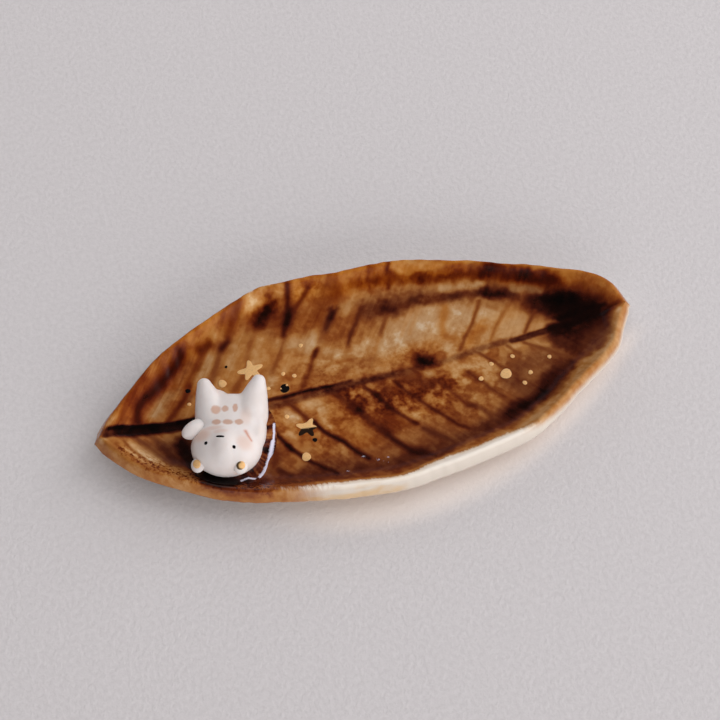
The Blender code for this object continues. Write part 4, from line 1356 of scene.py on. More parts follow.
def new_group(
    name: str, takes: tuple[tuple[str, str, float], ...], gives: tuple[tuple[str, str], ...]
) -> tuple[Tree, Shader, bpy.types.Node, bpy.types.Node]:
    """Start a shared effect with named inputs and outputs.

    Args:
        name: The effect's name.
        takes: Its inputs: name, kind of socket and starting value.
        gives: Its outputs: name and kind of socket.

    Returns:
        The group's tree, a Shader on it, its input node and its output node.
    """
    tree = bpy.data.node_groups.new(name, "ShaderNodeTree")
    for title, kind, value in takes:
        socket = tree.interface.new_socket(title, in_out="INPUT", socket_type="NodeSocket" + kind)
        if kind == "Float":
            socket.default_value = value
    for title, kind in gives:
        tree.interface.new_socket(title, in_out="OUTPUT", socket_type="NodeSocket" + kind)
    return tree, Shader(tree), tree.nodes.new("NodeGroupInput"), tree.nodes.new("NodeGroupOutput")


def orange_peel_group() -> Tree:
    """Make the shared effect of a fired gloss surface's slight waviness.

    Returns:
        The group, which gives a height.
    """
    tree, nodes, takes, gives = new_group(
        "orange_peel", (("Place", "Vector", 0.0), ("Wave", "Float", 0.5)), (("Height", "Float"),)
    )
    broad = nodes.noise(takes.outputs["Place"], 0.35, 2.0)
    fine = nodes.noise(takes.outputs["Place"], 1.6, 2.0)
    wave = nodes.times(broad, takes.outputs["Wave"])
    height = nodes.plus(wave, nodes.times(fine, 0.12))
    nodes.feed(gives.inputs["Height"], height)
    return tree


@dataclass(frozen=True)
class GlazeFinish:
    """Iron-brown stain pooled in the leaf's relief under a clear gloss glaze, with painted highlights
    and a painted light band on the near crest.
    """

    russet: Strip = (
        (0.0, srgb(204, 182, 158)),
        (0.12, srgb(184, 148, 110)),
        (0.30, srgb(152, 106, 64)),
        (0.45, srgb(120, 70, 38)),
        (0.60, srgb(88, 40, 20)),
        (0.75, srgb(58, 19, 10)),
        (0.88, srgb(26, 8, 5)),
        (1.0, srgb(8, 4, 3)),
    )
    amber: Strip = (
        (0.0, srgb(224, 184, 128)),
        (0.12, srgb(206, 148, 78)),
        (0.30, srgb(184, 114, 40)),
        (0.45, srgb(150, 74, 12)),
        (0.60, srgb(114, 42, 4)),
        (0.75, srgb(74, 18, 2)),
        (0.88, srgb(36, 8, 2)),
        (1.0, srgb(8, 4, 3)),
    )
    cream: Colour = srgb(214, 203, 191)
    # Painted light: the paler clay that the near crest's inner band is mixed towards.
    painted_crest_light: Colour = srgb(250, 240, 228)
    toasted: Colour = srgb(214, 176, 124)
    # Painted highlight: the lavender white of painted glints and reflections.
    painted_highlight: Colour = srgb(226, 223, 240)
    grain: float = 0.06
    roughness: float = 0.2
    clay_roughness: float = 0.4

    def density(self, nodes: Shader, place: Socket) -> tuple[Socket, Socket]:
        """The stain's density: the painted strokes, broken up by blotches, combing and specks.

        Args:
            nodes: The material's node tree.
            place: Object coordinates in millimetres.

        Returns:
            The density and the amount of blotch in it.
        """
        broad = nodes.mask(nodes.noise(place, 0.27, 3.0, 0.5, 0.1), 0.38, 0.62)
        small = nodes.mask(nodes.noise(place, 0.8, 2.0, 0.45, 0.0), 0.34, 0.68)
        combed = nodes.mask(nodes.noise(nodes.flow(0.7, 0.08), 1.0, 2.0, 0.5, 0.4), 0.32, 0.68)
        specks = nodes.mask(nodes.noise(place, 1.3, 3.0, 0.6, 0.2), 0.46, 0.64)
        fine = nodes.noise(place, 2.2, 3.0, 0.6)
        broad, small = nodes.times(broad, 0.9), nodes.times(small, 0.35)
        patch = nodes.minus(nodes.plus(broad, small), 0.62)
        patch = nodes.times(patch, nodes.painted("mottle"))
        total = nodes.plus(nodes.painted("stain"), patch)
        for value, middle, amount in (
            (combed, 0.5, nodes.painted("comb")),
            (specks, 0.4, nodes.painted("speck")),
            (fine, 0.5, self.grain),
        ):
            part = nodes.times(nodes.minus(value, middle), amount)
            total = nodes.plus(total, part, clamp=amount is self.grain)
        return total, patch

    def build(self, peel: Tree) -> Material:
        """Make the material.

        Args:
            peel: The gloss waviness group.

        Returns:
            The glaze.
        """
        material, nodes, shell = new_material("pooled_brown_glaze")
        place = nodes.place()
        density, patch = self.density(nodes, place)
        browned = nodes.times(patch, 0.5)
        warmth = nodes.plus(nodes.painted("warmth"), browned, clamp=True)
        stain = nodes.mix(warmth, nodes.ramp(density, self.russet), nodes.ramp(density, self.amber))
        fibre = nodes.noise(nodes.place((1.5, 0.3, 0.3)), 1.0, 4.0, 0.6, 0.3)
        ragged = nodes.times(nodes.minus(fibre, 0.5), nodes.painted("fray"))
        bare_mask = nodes.mask(nodes.plus(nodes.painted("bare"), ragged), 0.12, 0.88)
        bare_mask = nodes.times(bare_mask, nodes.mask(nodes.painted("bare"), 0.0, 0.12))
        streaks = nodes.noise(nodes.place((0.13, 0.5, 0.5)), 1.0, 3.0, 0.5, 0.4)
        toast = nodes.times(nodes.painted("toast"), nodes.mask(streaks, 0.30, 0.62))
        # Painted light on the near crest's inner band.
        clay = nodes.mix(nodes.painted("painted_crest_light"), self.cream, self.painted_crest_light)
        clay = nodes.mix(toast, clay, self.toasted)
        colour = nodes.mix(bare_mask, stain, clay)
        # Painted highlight: lavender white, with a torn edge, wherever it is painted.
        torn = nodes.minus(nodes.noise(place, 1.6, 3.0, 0.65), 0.5)
        torn = nodes.times(torn, 2.2)
        painted_highlight = nodes.mask(nodes.plus(nodes.painted("painted_highlight"), torn), 0.38, 0.56)
        colour = nodes.mix(nodes.times(painted_highlight, nodes.painted("painted_highlight")), colour, self.painted_highlight)
        nodes.feed(shell.inputs["Base Color"], colour)
        gloss = nodes.span(bare_mask, self.roughness, self.clay_roughness)
        nodes.feed(shell.inputs["Roughness"], gloss)
        shell.inputs["Specular IOR Level"].default_value = 0.4
        wave = nodes.group(peel, Place=place, Wave=0.5)
        nodes.feed(shell.inputs["Normal"], nodes.bump(wave, 0.12, 0.25))
        return material


@dataclass(frozen=True)
class PorcelainFinish:
    """White glazed porcelain with soft brushed blush and painted shade in a crease."""

    name: str
    white: Colour = srgb(229, 221, 218)
    shade: Colour = srgb(221, 211, 207)
    spot: Colour = srgb(200, 158, 136)
    blush: Colour = srgb(216, 180, 162)
    # Painted shade: the brown-red of the shade in the crease beside the near paw.
    painted_crease_shade: Colour = srgb(196, 120, 88)
    roughness: float = 0.34

    def build(self, peel: Tree) -> Material:
        """Make the material.

        Args:
            peel: The gloss waviness group.

        Returns:
            The porcelain.
        """
        material, nodes, shell = new_material(self.name)
        place = nodes.place()
        cloud = nodes.mask(nodes.noise(place, 0.16, 3.0), 0.35, 0.7)
        colour = nodes.mix(cloud, self.white, self.shade)
        colour = nodes.mix(nodes.painted("blush"), colour, self.blush)
        ragged = nodes.minus(nodes.noise(place, 1.5, 4.0), 0.5)
        spots = nodes.plus(nodes.painted("spots"), nodes.times(ragged, 0.8))
        fade = nodes.times(nodes.mask(spots, 0.25, 0.85), 0.85)
        colour = nodes.mix(fade, colour, self.spot)
        # Painted shade in the crease.
        colour = nodes.mix(nodes.painted("painted_crease_shade"), colour, self.painted_crease_shade)
        nodes.feed(shell.inputs["Base Color"], colour)
        haze = nodes.noise(place, 0.7, 3.0)
        rough = nodes.span(haze, self.roughness - 0.05, self.roughness + 0.08)
        nodes.feed(shell.inputs["Roughness"], rough)
        shell.inputs["Subsurface Weight"].default_value = 0.25
        shell.inputs["Subsurface Radius"].default_value = (1.0, 0.75, 0.6)
        shell.inputs["Subsurface Scale"].default_value = 0.9 * MM
        wave = nodes.group(peel, Place=place, Wave=0.8)
        nodes.feed(shell.inputs["Normal"], nodes.bump(wave, 0.25, 0.2))
        return material


@dataclass(frozen=True)
class LustreFinish:
    """Fired gold lustre: a thin bright metal with a brushed edge, darker worn places, and painted shade
    where it reads dark.
    """

    name: str
    bright: Colour
    # The dark colour: for worn places, and for painted shade and dark reflection.
    wear_and_painted_shade: Colour
    metal: float
    roughness: float

    def build(self, peel: Tree) -> Material:
        """Make the material.

        Args:
            peel: The gloss waviness group.

        Returns:
            The lustre.
        """
        material, nodes, shell = new_material(self.name)
        place = nodes.place()
        worn = nodes.mask(nodes.noise(place, 2.2, 3.0), 0.45, 0.8)
        # Darker where worn at random, and where painted shade is laid.
        dark = nodes.math("MAXIMUM", nodes.painted("wear_and_painted_shade"), nodes.times(worn, 0.25))
        colour = nodes.mix(dark, self.bright, self.wear_and_painted_shade)
        nodes.feed(shell.inputs["Base Color"], colour)
        shell.inputs["Metallic"].default_value = self.metal
        rough = nodes.span(nodes.noise(place, 1.6, 2.0), self.roughness, self.roughness + 0.12)
        nodes.feed(shell.inputs["Roughness"], rough)
        wave = nodes.group(peel, Place=place, Wave=0.4)
        nodes.feed(shell.inputs["Normal"], nodes.bump(wave, 0.3, 0.1))
        return material


GOLD_LUSTRE = LustreFinish(
    "gold_lustre_fired", srgb(252, 201, 136), srgb(40, 24, 12), metal=0.3, roughness=0.46
)
BLACK_ENAMEL = LustreFinish(
    "black_enamel_fired", srgb(14, 12, 12), srgb(30, 20, 14), metal=0.0, roughness=0.16
)


@dataclass(frozen=True)
class PaperFinish:
    """The pale paper that the dish stands on, with a painted pool of bounce light along the dish's near
    edge.
    """

    tint: Colour = srgb(211, 206, 207)
    tooth: Colour = srgb(204, 199, 200)
    # Painted light: the paler, warmer colour of a pool of bounce light beside the dish.
    painted_bounce_light: Colour = srgb(238, 227, 221)
    leaf_half: Pair = (66.0, 31.0)

    def build(self) -> Material:
        """Make the material.

        Returns:
            The paper.
        """
        material, nodes, shell = new_material("pale_paper")
        place = nodes.place()
        grain = nodes.noise(place, 0.9, 3.0, 0.6)
        colour = nodes.mix(nodes.mask(grain, 0.3, 0.7), self.tooth, self.tint)
        # Painted light: a pale warm band along the dish's near edge, mostly to its right, where the
        # dish's shadow would fall.
        around = nodes.place((1 / self.leaf_half[0], 1 / self.leaf_half[1], 1.0))
        parts = nodes.add("SeparateXYZ", {"Vector": around})
        share = nodes.times(parts.outputs["X"], parts.outputs["X"])
        away = nodes.minus(share, parts.outputs["Y"])
        painted_bounce_mask = nodes.mask(away, 1.26, 1.02)
        for axis, low, high in (("X", -0.7, -0.1), ("Y", 0.0, -0.25)):
            painted_bounce_mask = nodes.times(painted_bounce_mask, nodes.mask(parts.outputs[axis], low, high))
        colour = nodes.mix(painted_bounce_mask, colour, self.painted_bounce_light)
        nodes.feed(shell.inputs["Base Color"], colour)
        shell.inputs["Roughness"].default_value = 0.9
        shell.inputs["Specular IOR Level"].default_value = 0.2
        nodes.feed(shell.inputs["Normal"], nodes.bump(grain, 0.5, 0.3))
        return material


# ---------------------------------------------------------------- the cub


@dataclass(frozen=True)
class Limb:
    """An arm, leg or ear: where it is rooted in the cub's frame, and which way it points."""

    name: str
    root: Triple
    turn: float
    climb: float

    def transform(self) -> Matrix:
        """The place of the limb in the cub's frame; +Y runs along it."""
        turn = Matrix.Rotation(math.radians(self.turn) - math.pi / 2, 4, "Z")
        climb = Matrix.Rotation(math.radians(self.climb), 4, "X")
        return Matrix.Translation(self.root) @ turn @ climb


@dataclass(frozen=True)
class Spot:
    """A soft brushed mark on the cub: its middle and half sizes, in the cub's frame."""

    x: float
    y: float
    half_x: float
    half_y: float
    strength: float = 1.0

    def cover(self, places: Array) -> Array:
        """How fully the mark covers each point."""
        away = np.hypot((places[:, 0] - self.x) / self.half_x, (places[:, 1] - self.y) / self.half_y)
        return self.strength * np.exp(-(away**4) * 0.7)


@dataclass
class Cub:
    """The small white cub on its back, in millimetres in its own frame: +Y runs to its feet."""

    origin: Triple = (-37.14, -11.59, 3.6)
    turn: float = -16.5
    head_half: Triple = (8.2, 7.0, 5.9)
    neck_share: float = 0.95
    muzzle_rise: float = 0.66
    muzzle_reach: Pair = (3.0, 5.6)
    muzzle_centre: Pair = (-0.3, -1.6)
    torso_half: Triple = (7.9, 7.2, 5.5)
    torso_centre: Triple = (0.9, 6.1, 5.3)
    torso_square: float = 0.72
    neck_half: Triple = (7.3, 4.8, 5.3)
    neck_centre: Triple = (0.3, 2.6, 5.6)
    lap_half: Triple = (4.2, 4.7, 3.2)
    lap_centre: Triple = (-3.0, 10.0, 6.4)
    leg_length: float = 12.2
    leg_root: float = 5.5
    leg_tip: float = 1.75
    leg_flare: float = 0.82
    legs: tuple[Limb, ...] = (
        Limb("left_leg", (-2.1, 3.4, 5.5), 107, 17),
        Limb("right_leg", (4.2, 4.2, 5.6), 76, 17),
    )
    right_paw_half: Triple = (2.3, 5.1, 3.2)
    right_paw_centre: Triple = (6.8, 4.0, 6.5)
    arm_half: Pair = (2.2, 3.75)
    arm_taper: float = 0.06
    arms: tuple[Limb, ...] = (
        Limb("left_arm", (-6.9, 3.75, 7.8), 212, 8),
    )
    ear_half: Triple = (1.7, 1.7, 1.1)
    ears: tuple[Limb, ...] = (
        Limb("left_ear", (-6.4, -4.76, 6.25), 307, 35),
        Limb("right_ear", (3.44, -5.74, 7.55), 31, 35),
    )
    eyes: Pairs = ((-4.4, -1.36), (2.06, -2.63))
    eye_half: float = 0.38
    mouth: Triple = (-1.13, -0.4, -9.0)
    mouth_half: Pair = (1.0, 0.25)
    belly: tuple[Spot, ...] = (
        Spot(-2.4, 7.2, 1.15, 1.2),
        Spot(-0.3, 7.5, 0.8, 0.85),
        Spot(1.95, 7.8, 0.65, 1.15),
        Spot(-2.2, 4.1, 1.1, 0.75),
        Spot(0.35, 4.0, 1.2, 0.8),
        Spot(2.9, 4.1, 1.0, 0.75),
    )
    cheeks: tuple[Spot, ...] = (
        Spot(-5.4, 1.0, 2.0, 1.6, 0.75),
        Spot(-3.0, 2.4, 2.4, 0.7, 0.60),
        Spot(4.3, -1.2, 1.7, 1.6, 0.55),
        Spot(-1.2, 1.2, 1.6, 0.6, 0.50),
        Spot(3.6, -7.0, 1.8, 1.4, 0.45),
        Spot(4.4, 5.6, 1.2, 2.0, 0.35),
    )
    # Painted shade: a brown-red line in the crease between the cheek and the near paw.
    painted_crease_shade: Pairs = ((4.5, 1.8), (5.1, 0.7), (5.9, -0.4))
    painted_crease_shade_width: float = 0.42
    melt_grain: float = 0.24
    melt_rounds: int = 34
    lining_half: Triple = (1.05, 1.0, 0.45)
    lining_shift: Triple = (0.0, 0.35, 0.86)
    dab_square: float = 0.8
    dab_rise: float = 0.09

    def frame(self) -> Matrix:
        """The cub's frame in the leaf's plan."""
        return Matrix.Translation(self.origin) @ Matrix.Rotation(math.radians(self.turn), 4, "Z")

    def finish(self, piece: Piece, material: Material, nodes: tuple[str, ...]) -> Piece:
        """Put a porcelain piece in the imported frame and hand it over.

        Args:
            piece: The mesh, in the cub's frame.
            material: The porcelain.
            nodes: The CAD nodes that it stands for.

        Returns:
            The piece.
        """
        for name in ("blush", "spots", "painted_crease_shade"):
            if name not in piece.data.attributes:
                paint(piece, name, np.zeros(len(piece.data.vertices)))
        seat_in_frame(piece, self.frame())
        return hand_over(piece, material, nodes)

    def head_shape(self) -> Piece:
        """The head: a ball flattened to the neck, with a soft muzzle pushed out of its face.

        Returns:
            The head, in the cub's frame.
        """
        head = primitive_ball("cub_head", 96, 64)
        half = np.array(self.head_half)
        places = positions(head) * half
        places[:, 1] *= np.where(places[:, 1] > 0, self.neck_share, 1.0)
        reach = (places[:, :2] - np.array(self.muzzle_centre)) / np.array(self.muzzle_reach)
        bulge = np.clip(1 - (reach**2).sum(axis=1), 0, None) ** 1.5
        places[:, 2] += self.muzzle_rise * bulge * (places[:, 2] > 0)
        set_positions(head, places + np.array([0.0, 0.0, half[2]]))
        return head

    def lump(self, name: str, half: Triple, centre: Triple, square: float = 1.0) -> Piece:
        """A ball drawn out to a lump of clay.

        Args:
            name: Its name.
            half: Its half sizes.
            centre: Its middle.
            square: Below 1, how far its corners are filled out.

        Returns:
            The lump, in the cub's frame.
        """
        piece = primitive_ball(name, 72, 48)
        places = positions(piece)
        places = np.sign(places) * np.abs(places) ** square
        set_positions(piece, places * np.array(half) + np.array(centre))
        return piece

    def leg_shape(self, leg: Limb) -> Piece:
        """One leg as a ball drawn out to its profile: round at both ends, flared to the hip.

        Args:
            leg: Where it is rooted and which way it points.

        Returns:
            The leg, in the cub's frame.
        """
        piece = primitive_ball(leg.name, 48, 40)
        ball = positions(piece)
        middle = (self.leg_length + self.leg_tip) / 2
        along = middle - middle * ball[:, 2]
        share = np.clip(along / self.leg_length, 0, 1)
        radius = self.leg_tip + (self.leg_root - self.leg_tip) * (1 - share) ** self.leg_flare
        ends = ((along - self.leg_length) / self.leg_tip, 1 - along / self.leg_root, 0 * along)
        past = np.maximum.reduce(ends)
        radius = radius * np.sqrt(np.clip(1 - past**2, 0, 1))
        round_off = np.maximum(np.hypot(ball[:, 0], ball[:, 1]), 1e-6)
        ring = ball / round_off[:, None] * radius[:, None]
        set_positions(piece, np.stack([ring[:, 0], along, ring[:, 1]], -1))
        piece.data.transform(leg.transform())
        return piece

    def build_body(self, material: Material) -> Piece:
        """Head, body, legs and the near arm, melted into one another as modelled clay.

        Args:
            material: The porcelain.

        Returns:
            The melted body.
        """
        body = self.head_shape()
        parts = [self.leg_shape(leg) for leg in self.legs]
        parts.append(self.lump("torso", self.torso_half, self.torso_centre, self.torso_square))
        parts.append(self.lump("neck", self.neck_half, self.neck_centre))
        parts.append(self.lump("lap", self.lap_half, self.lap_centre))
        parts.append(self.lump("right_paw", self.right_paw_half, self.right_paw_centre))
        join("cub_body", [body] + parts)
        take_modifier(body, "REMESH", mode="VOXEL", voxel_size=self.melt_grain)
        take_modifier(body, "SMOOTH", factor=0.5, iterations=self.melt_rounds)
        places = positions(body)
        upper = places[:, 2] > self.torso_centre[2]
        # Painted shade in the crease between the cheek and the near paw.
        crease_shade_line = Brush(self.painted_crease_shade, self.painted_crease_shade_width, 1.0, 0.0, 0.8, 2.0, 0.5)
        paint(body, "painted_crease_shade", crease_shade_line.cover(places[:, 0], places[:, 1]) * upper)
        for name, marks in (("spots", self.belly), ("blush", self.cheeks)):
            paint(body, name, np.max([mark.cover(places) for mark in marks], axis=0) * upper)
        nodes = ("figure_head", "figure_torso", "left_leg", "right_leg", "right_arm")
        return self.finish(body, material, nodes)

    def build_arm(self, arm: Limb, material: Material) -> Piece:
        """One arm, a soft paddle laid at the shoulder.

        Args:
            arm: Where it is rooted and which way it points.
            material: The porcelain.

        Returns:
            The arm.
        """
        piece = primitive_ball("cub_" + arm.name, 40, 28)
        places = positions(piece)
        width, length = self.arm_half
        swell = 1 - self.arm_taper * places[:, 1]
        sizes = np.stack([width * swell, np.full_like(swell, length), width * swell], -1)
        set_positions(piece, places * sizes)
        piece.data.transform(arm.transform())
        return self.finish(piece, material, (arm.name,))

    def build_ear(self, ear: Limb, material: Material, gold: Material) -> None:
        """One ear, a flattened bead on the crown, with a gold lining towards the face that carries
        painted shade.

        Args:
            ear: Where it is rooted and which way it points.
            material: The porcelain.
            gold: The lining's lustre.
        """
        heading = Matrix.Rotation(math.atan2(ear.root[1], ear.root[0]) + math.pi / 2, 4, "Z")
        climb = Matrix.Rotation(math.radians(ear.climb), 4, "X")
        lie = Matrix.Translation(ear.root) @ heading @ climb
        piece = primitive_ball("cub_" + ear.name, 40, 28)
        set_positions(piece, positions(piece) * np.array(self.ear_half))
        piece.data.transform(lie)
        self.finish(piece, material, (ear.name,))
        lining = primitive_ball("gold_" + ear.name + "_lining", 32, 20)
        half, shift = np.array(self.lining_half), np.array(self.lining_shift)
        set_positions(lining, positions(lining) * half + shift)
        dabs = positions(lining)
        # Painted shade: the lining is darker towards its rim and on one side, strongly on the right
        # ear.
        rim = np.hypot(dabs[:, 0] * 1.1, dabs[:, 1] - shift[1])
        shaded = smoothstep(0.45, 0.8, rim)
        shaded *= smoothstep(0.35, -0.35, dabs[:, 0] - 0.3 * dabs[:, 1])
        lining.data.transform(lie)
        paint(lining, "wear_and_painted_shade", shaded * (0.9 if ear.name == "right_ear" else 0.15))
        seat_in_frame(lining, self.frame())
        hand_over(lining, gold)

    def build_face(self, head: Piece, enamel: Material) -> None:
        """Two dot eyes and a dash of a mouth, fired on in black enamel.

        Args:
            head: The finished head.
            enamel: The black enamel.
        """
        face = plan_tree(head)
        for name, (x, y) in zip(("cub_left_eye", "cub_right_eye"), self.eyes):
            self.dab(name, (x, y, 0.0), (self.eye_half, self.eye_half), face, enamel)
        self.dab("cub_mouth", self.mouth, self.mouth_half, face, enamel)

    def dab(self, name: str, spot: Triple, half: Pair, face: BVHTree, enamel: Material) -> None:
        """One raised dab of enamel that follows the face under it.

        Args:
            name: The piece's name.
            spot: Its middle in the cub's frame, and its tilt in degrees.
            half: Its half sizes.
            face: The head that it lies on.
            enamel: The black enamel.
        """
        x, y, tilt = spot
        piece = primitive_ball(name, 32, 16)
        turn = Matrix.Rotation(math.radians(self.turn + tilt), 4, "Z")
        places = positions(piece)
        middle = self.frame() @ Vector((x, y, 0))
        square = np.sign(places) * np.abs(places) ** self.dab_square
        rows = []
        for ball, soft in zip(places, square):
            step = turn @ Vector((soft[0] * half[0], soft[1] * half[1], 0))
            hit, normal = cast_down(face, middle.x + step.x, middle.y + step.y)
            rows.append(hit + normal * (ball[2] * self.dab_rise))
        set_positions(piece, np.array(rows))
        seat_in_frame(piece)
        hand_over(piece, enamel)

    def build(self, porcelain: Material, gold: Material, enamel: Material) -> Piece:
        """Build the whole cub.

        Args:
            porcelain: The white body.
            gold: The ear linings' lustre.
            enamel: The eyes' and mouth's enamel.

        Returns:
            The cub's body, which the glaze climbs.
        """
        body = self.build_body(porcelain)
        for arm in self.arms:
            self.build_arm(arm, porcelain)
        for ear in self.ears:
            self.build_ear(ear, porcelain, gold)
        self.build_face(body, enamel)
        return body


# ---------------------------------------------------------------- lustre stars and dots


@dataclass(frozen=True)
class Mark:
    """A dot, or a star with an arm for each angle and length given, laid on the glaze."""

    x: float
    y: float
    radius: float
    arms: Pairs = ()
    # How strongly a star's lower half is painted dark: painted shade, standing for a dark reflection in
    # the lustre.
    painted_shade_half: float = 0.0

    def edge(self, turns: Array) -> Array:
        """The mark's outline.

        Args:
            turns: Directions, in radians.

        Returns:
            The mark's radius in each direction.
        """
        if not self.arms:
            wobble = 0.05 * np.sin(2 * turns + self.x) + 0.04 * np.sin(3 * turns + self.y)
            return self.radius * (1 + wobble)
        edge = np.full(turns.shape, self.radius)
        for angle, length in self.arms:
            away = np.abs((turns - math.radians(angle) + math.pi) % (2 * math.pi) - math.pi)
            edge = np.maximum(edge, 0) + (length - self.radius) * np.exp(-((away / 0.34) ** 2))
        return edge


def lay_marks(
    name: str, marks: tuple[Mark, ...], ground: BVHTree, material: Material, rise: float
) -> None:
    """Lay a set of marks on the glaze as thin closed domes.

    Args:
        name: The piece's name.
        marks: The dots and stars.
        ground: What they lie on.
        material: Their finish.
        rise: How high a mark stands at its middle.
    """
    pieces = []
    for mark in marks:
        piece = primitive_ball(name, *((100, 12) if mark.arms else (28, 10)))
        ball = positions(piece)
        turns = np.arctan2(ball[:, 1], ball[:, 0])
        out = np.hypot(ball[:, 0], ball[:, 1])
        reach = mark.edge(turns) * out
        x, y = mark.x + reach * np.cos(turns), mark.y + reach * np.sin(turns)
        heights = [cast_down(ground, px, py)[0].z for px, py in zip(x, y)]
        set_positions(piece, np.stack([x, y, heights + rise * ball[:, 2]], -1))
        # Painted shade: the part of a star below a line through its middle is painted dark, as a dark
        # reflection in the lustre.
        line = y - mark.y + 0.2 - math.tan(math.radians(-8)) * (x - mark.x)
        paint(piece, "wear_and_painted_shade", smoothstep(0.12, -0.12, line) * mark.painted_shade_half)
        pieces.append(piece)
    joined = join(name, pieces)
    seat_in_frame(joined)
    hand_over(joined, material)


GOLD_STARS = (
    Mark(-26.0, 9.9, 1.35, ((176, 3.3), (88, 2.8), (11, 3.1), (232, 2.9), (305, 2.9))),
    Mark(-17.3, -8.7, 1.3, ((150, 2.7), (48, 2.6), (345, 2.2), (212, 2.9), (285, 2.7)), 1.0),
)
GOLD_DOTS = (
    Mark(-33.4, 8.25, 1.0), Mark(-42.25, 5.0, 0.46), Mark(-18.9, 6.75, 0.5), Mark(-16.5, 5.5, 0.52),
    Mark(-23.3, 3.9, 0.5), Mark(-12.8, 13.1, 0.52), Mark(-21.1, -4.6, 0.55), Mark(-19.6, -16.1, 1.08),
    Mark(31.8, -8.2, 1.35), Mark(29.3, -4.7, 0.55), Mark(34.8, -4.1, 0.52), Mark(25.7, -7.8, 0.6),
    Mark(37.5, -9.5, 0.56), Mark(35.3, -11.8, 0.56), Mark(43.2, -6.7, 0.52),
)
GOLD_GLINTS = (Mark(-18.9, 3.5, 0.3), Mark(-20.5, 3.0, 0.22))
DARK_DOTS = (
    Mark(-41.7, 8.6, 0.62), Mark(-31.4, 12.4, 0.36), Mark(-16.5, -12.4, 0.55), Mark(-19.6, 2.8, 1.15),
)


# ---------------------------------------------------------------- the glaze that climbs the cub


@dataclass
class Meniscus:
    """The fillet of glaze that was drawn up round the cub where it was fired into the dish, with a
    painted highlight along it.
    """

    climb: float = 2.2
    spread: float = 3.1
    first: float = -150.0
    last: float = 40.0
    turns: int = 200
    steps: int = 18
    middle: Pair = (-36.2, -9.0)
    cast_from: float = 30.0
    missed: float = 8.0
    tuck: float = 0.5
    sweep: float = 2.2
    sink: Pair = (0.06, 0.1)
    thickness: float = 0.3
    stain: float = 0.62
    pooled: float = 0.96
    looks: tuple[tuple[str, float], ...] = (
        ("warmth", 0.35), ("mottle", 0.2), ("comb", 0.45), ("speck", 0.1),
        ("bare", 0.0), ("toast", 0.0), ("painted_crest_light", 0.0), ("fray", 0.0),
    )
    crown: Pairs = ((-46, -12), (-42.6, -17.6), (-37.6, -19.4))
    crown_width: float = 2.6
    # Painted highlight: lines of lavender white along the fillet beside the cub's face.
    painted_highlight_lines: tuple[Brush, ...] = (
        Brush(((-24.6, -5.8), (-25.4, -8.6), (-26.2, -10.6)), 0.34, 1.0, 0.0, 1.0, 3.0),
        Brush(((-26.1, -10.2), (-27.2, -12.6), (-28.6, -15.3), (-30.0, -17.2), (-31.2, -18.3)),
              0.6, 1.0, 0.0, 1.0, 3.0),
        Brush(((-32.6, -18.7), (-34.2, -18.3), (-35.8, -18.9)), 0.36, 1.0, 0.0, 0.9, 3.0),
    )

    def build(self, cub: BVHTree, dish: BVHTree, material: Material) -> Piece:
        """Loft the fillet between the cub's side and the dish's floor.

        Args:
            cub: The cub's head and body.
            dish: The dish.
            material: The glaze.

        Returns:
            The fillet.
        """
        piece = primitive_grid("glaze_meniscus", self.turns, self.steps)
        level = LeafForm.thickness + self.climb
        rows, flow = [], []
        for gx, gy, _ in positions(piece):
            turn = math.radians(self.first + (self.last - self.first) * (gx + 1) / 2)
            ends = math.sin(math.pi * (gx + 1) / 2) ** 0.5
            heading = Vector((math.cos(turn), math.sin(turn), 0))
            start = Vector((*self.middle, level)) + heading * self.cast_from
            hit, _, _, _ = cub.ray_cast(start, -heading)
            side = self.cast_from - (hit - start).length if hit else self.missed
            share = (gy + 1) / 2
            out = side - self.tuck + (self.spread + self.tuck) * share
            foot = Vector((*self.middle, 0)) + heading * out
            ground, _ = cast_down(dish, foot.x, foot.y)
            rise = self.climb * ends * (1 - share) ** self.sweep
            sunk = self.sink[0] * share + self.sink[1] * share**4
            rows.append((foot.x, foot.y, ground.z + rise - sunk))
            flow.append((turn * self.spread * 3, share * self.spread))
        places = np.array(rows)
        set_positions(piece, places)
        x, y = places[:, 0], places[:, 1]
        crown = Brush(self.crown, self.crown_width, self.pooled, 0.0).cover(x, y)
        paint(piece, "stain", self.stain + (self.pooled - self.stain) * crown)
        for name, amount in self.looks:
            paint(piece, name, amount * (1 - crown))
        # Painted highlight along the fillet.
        paint(piece, "painted_highlight", np.max([line.cover(x, y) for line in self.painted_highlight_lines], axis=0))
        lay_flow(piece, np.array(flow))
        seat_in_frame(piece)
        take_modifier(piece, "SOLIDIFY", thickness=self.thickness * MM, offset=-1.0)
        close_up(piece)
        return hand_over(piece, material)


# ---------------------------------------------------------------- stage


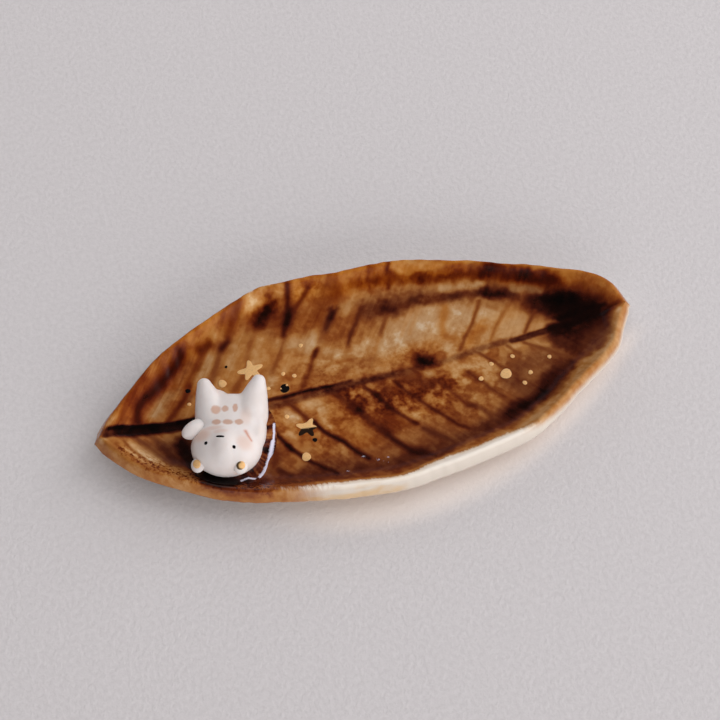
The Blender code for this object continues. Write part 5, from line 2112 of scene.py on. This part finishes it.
@dataclass(frozen=True)
class Studio:
    """The pale paper, the soft lights and the camera."""

    azimuth: float = -16.49
    elevation: float = 60.0
    distance: float = 480.3
    lens: float = 100.0
    sensor: float = 36.0
    target: Triple = (0.24, 7.20, 0.0)
    low_light: Colour = srgb(225, 221, 223)
    low_dark: Colour = srgb(104, 100, 108)
    overhead: Colour = srgb(46, 42, 42)
    surround: float = 1.0
    lamp_distance: float = 1.8

    def floor(self) -> None:
        """The sheet of paper under the dish."""
        bpy.ops.object.select_all(action="DESELECT")
        bpy.ops.mesh.primitive_plane_add(size=4.0)
        sheet = rename(bpy.context.object, "paper_floor")
        sheet.data.materials.append(PaperFinish().build())

    def lamp(self, name: str, heading: Triple, size: Pair, power: float, colour: Triple) -> None:
        """A soft box that faces the dish and isn't mirrored in it.

        Args:
            name: Its name.
            heading: Where it hangs, as a direction from the dish.
            size: Its width and height in metres.
            power: Its power in watts.
            colour: Its light's colour.
        """
        data = bpy.data.lights.new(name, "AREA")
        data.shape = "RECTANGLE"
        data.size, data.size_y = size
        data.energy = power
        data.color = colour
        lamp = bpy.data.objects.new(name, data)
        bpy.context.scene.collection.objects.link(lamp)
        direction = Vector(heading).normalized()
        lamp.location = direction * self.lamp_distance
        lamp.rotation_euler = direction.to_track_quat("Z", "Y").to_euler()
        lamp.visible_glossy = False

    def world(self) -> None:
        """A room round the table: light at its far side, dim overhead and behind the camera."""
        world = bpy.data.worlds.new("studio_surround")
        world.use_nodes = True
        bpy.context.scene.world = world
        nodes = Shader(world.node_tree)
        back = world.node_tree.nodes["Background"]
        towards = nodes.add("TexCoord").outputs["Generated"]
        where = nodes.add("SeparateXYZ", {"Vector": towards})
        lit = nodes.add("VectorMath", {0: towards, 1: (0.55, -0.83, 0.0)}, operation="DOT_PRODUCT")
        room = nodes.mix(nodes.mask(lit.outputs["Value"], -0.35, 0.45), self.low_dark, self.low_light)
        colour = nodes.mix(nodes.mask(where.outputs["Z"], 0.22, 0.55), room, self.overhead)
        nodes.feed(back.inputs["Color"], colour)
        back.inputs["Strength"].default_value = self.surround

    def camera(self) -> None:
        """The camera, at the photograph's angle."""
        data = bpy.data.cameras.new("camera")
        data.lens = self.lens
        data.sensor_width = self.sensor
        data.clip_start, data.clip_end = 0.01, 10.0
        camera = bpy.data.objects.new("camera", data)
        bpy.context.scene.collection.objects.link(camera)
        turn, climb = math.radians(self.azimuth), math.radians(self.elevation)
        level = math.cos(climb)
        back = Vector((math.sin(turn) * level, -math.cos(turn) * level, math.sin(climb)))
        target = Vector(self.target) + PLAN_SHIFT
        camera.location = (target + back * self.distance) * MM
        camera.rotation_mode = "QUATERNION"
        camera.rotation_quaternion = (-back).to_track_quat("-Z", "Y")
        bpy.context.scene.camera = camera

    def build(self) -> None:
        """Set the stage."""
        self.floor()
        self.world()
        self.lamp("window", (0.8, 0.15, 0.56), (1.6, 1.4), 22.0, (0.98, 0.985, 1.0))
        self.lamp("ceiling", (0.0, 0.1, 0.97), (2.4, 2.4), 14.5, (1.0, 1.0, 1.0))
        self.lamp("room_front", (0.2, -0.92, 0.32), (3.0, 0.9), 23.0, (1.0, 0.99, 0.975))
        self.lamp("room_back", (-0.1, 0.9, 0.42), (2.4, 1.0), 9.0, (1.0, 1.0, 1.0))
        self.camera()
        bpy.context.scene.view_settings.view_transform = "Standard"


def main() -> None:
    """Build the dish, the cub, the marks and the stage, and hand them over."""
    logging.basicConfig(level=logging.INFO, format="%(name)s: %(message)s")
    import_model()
    peel = orange_peel_group()
    glaze = GlazeFinish().build(peel)
    porcelain = PorcelainFinish("white_porcelain_glazed").build(peel)
    gold = GOLD_LUSTRE.build(peel)
    enamel = BLACK_ENAMEL.build(peel)
    dish = LeafDish().build(glaze)
    ground = plan_tree(dish)
    cub = Cub().build(porcelain, gold, enamel)
    Meniscus().build(plan_tree(cub), ground, glaze)
    lay_marks("gold_stars", GOLD_STARS, ground, gold, 0.09)
    lay_marks("gold_dots", GOLD_DOTS, ground, gold, 0.13)
    lay_marks("dark_dots", DARK_DOTS, ground, enamel, 0.14)
    lay_marks("gold_glints", GOLD_GLINTS, ground, gold, 0.24)
    Studio().build()


if __name__ == "__main__":
    main()
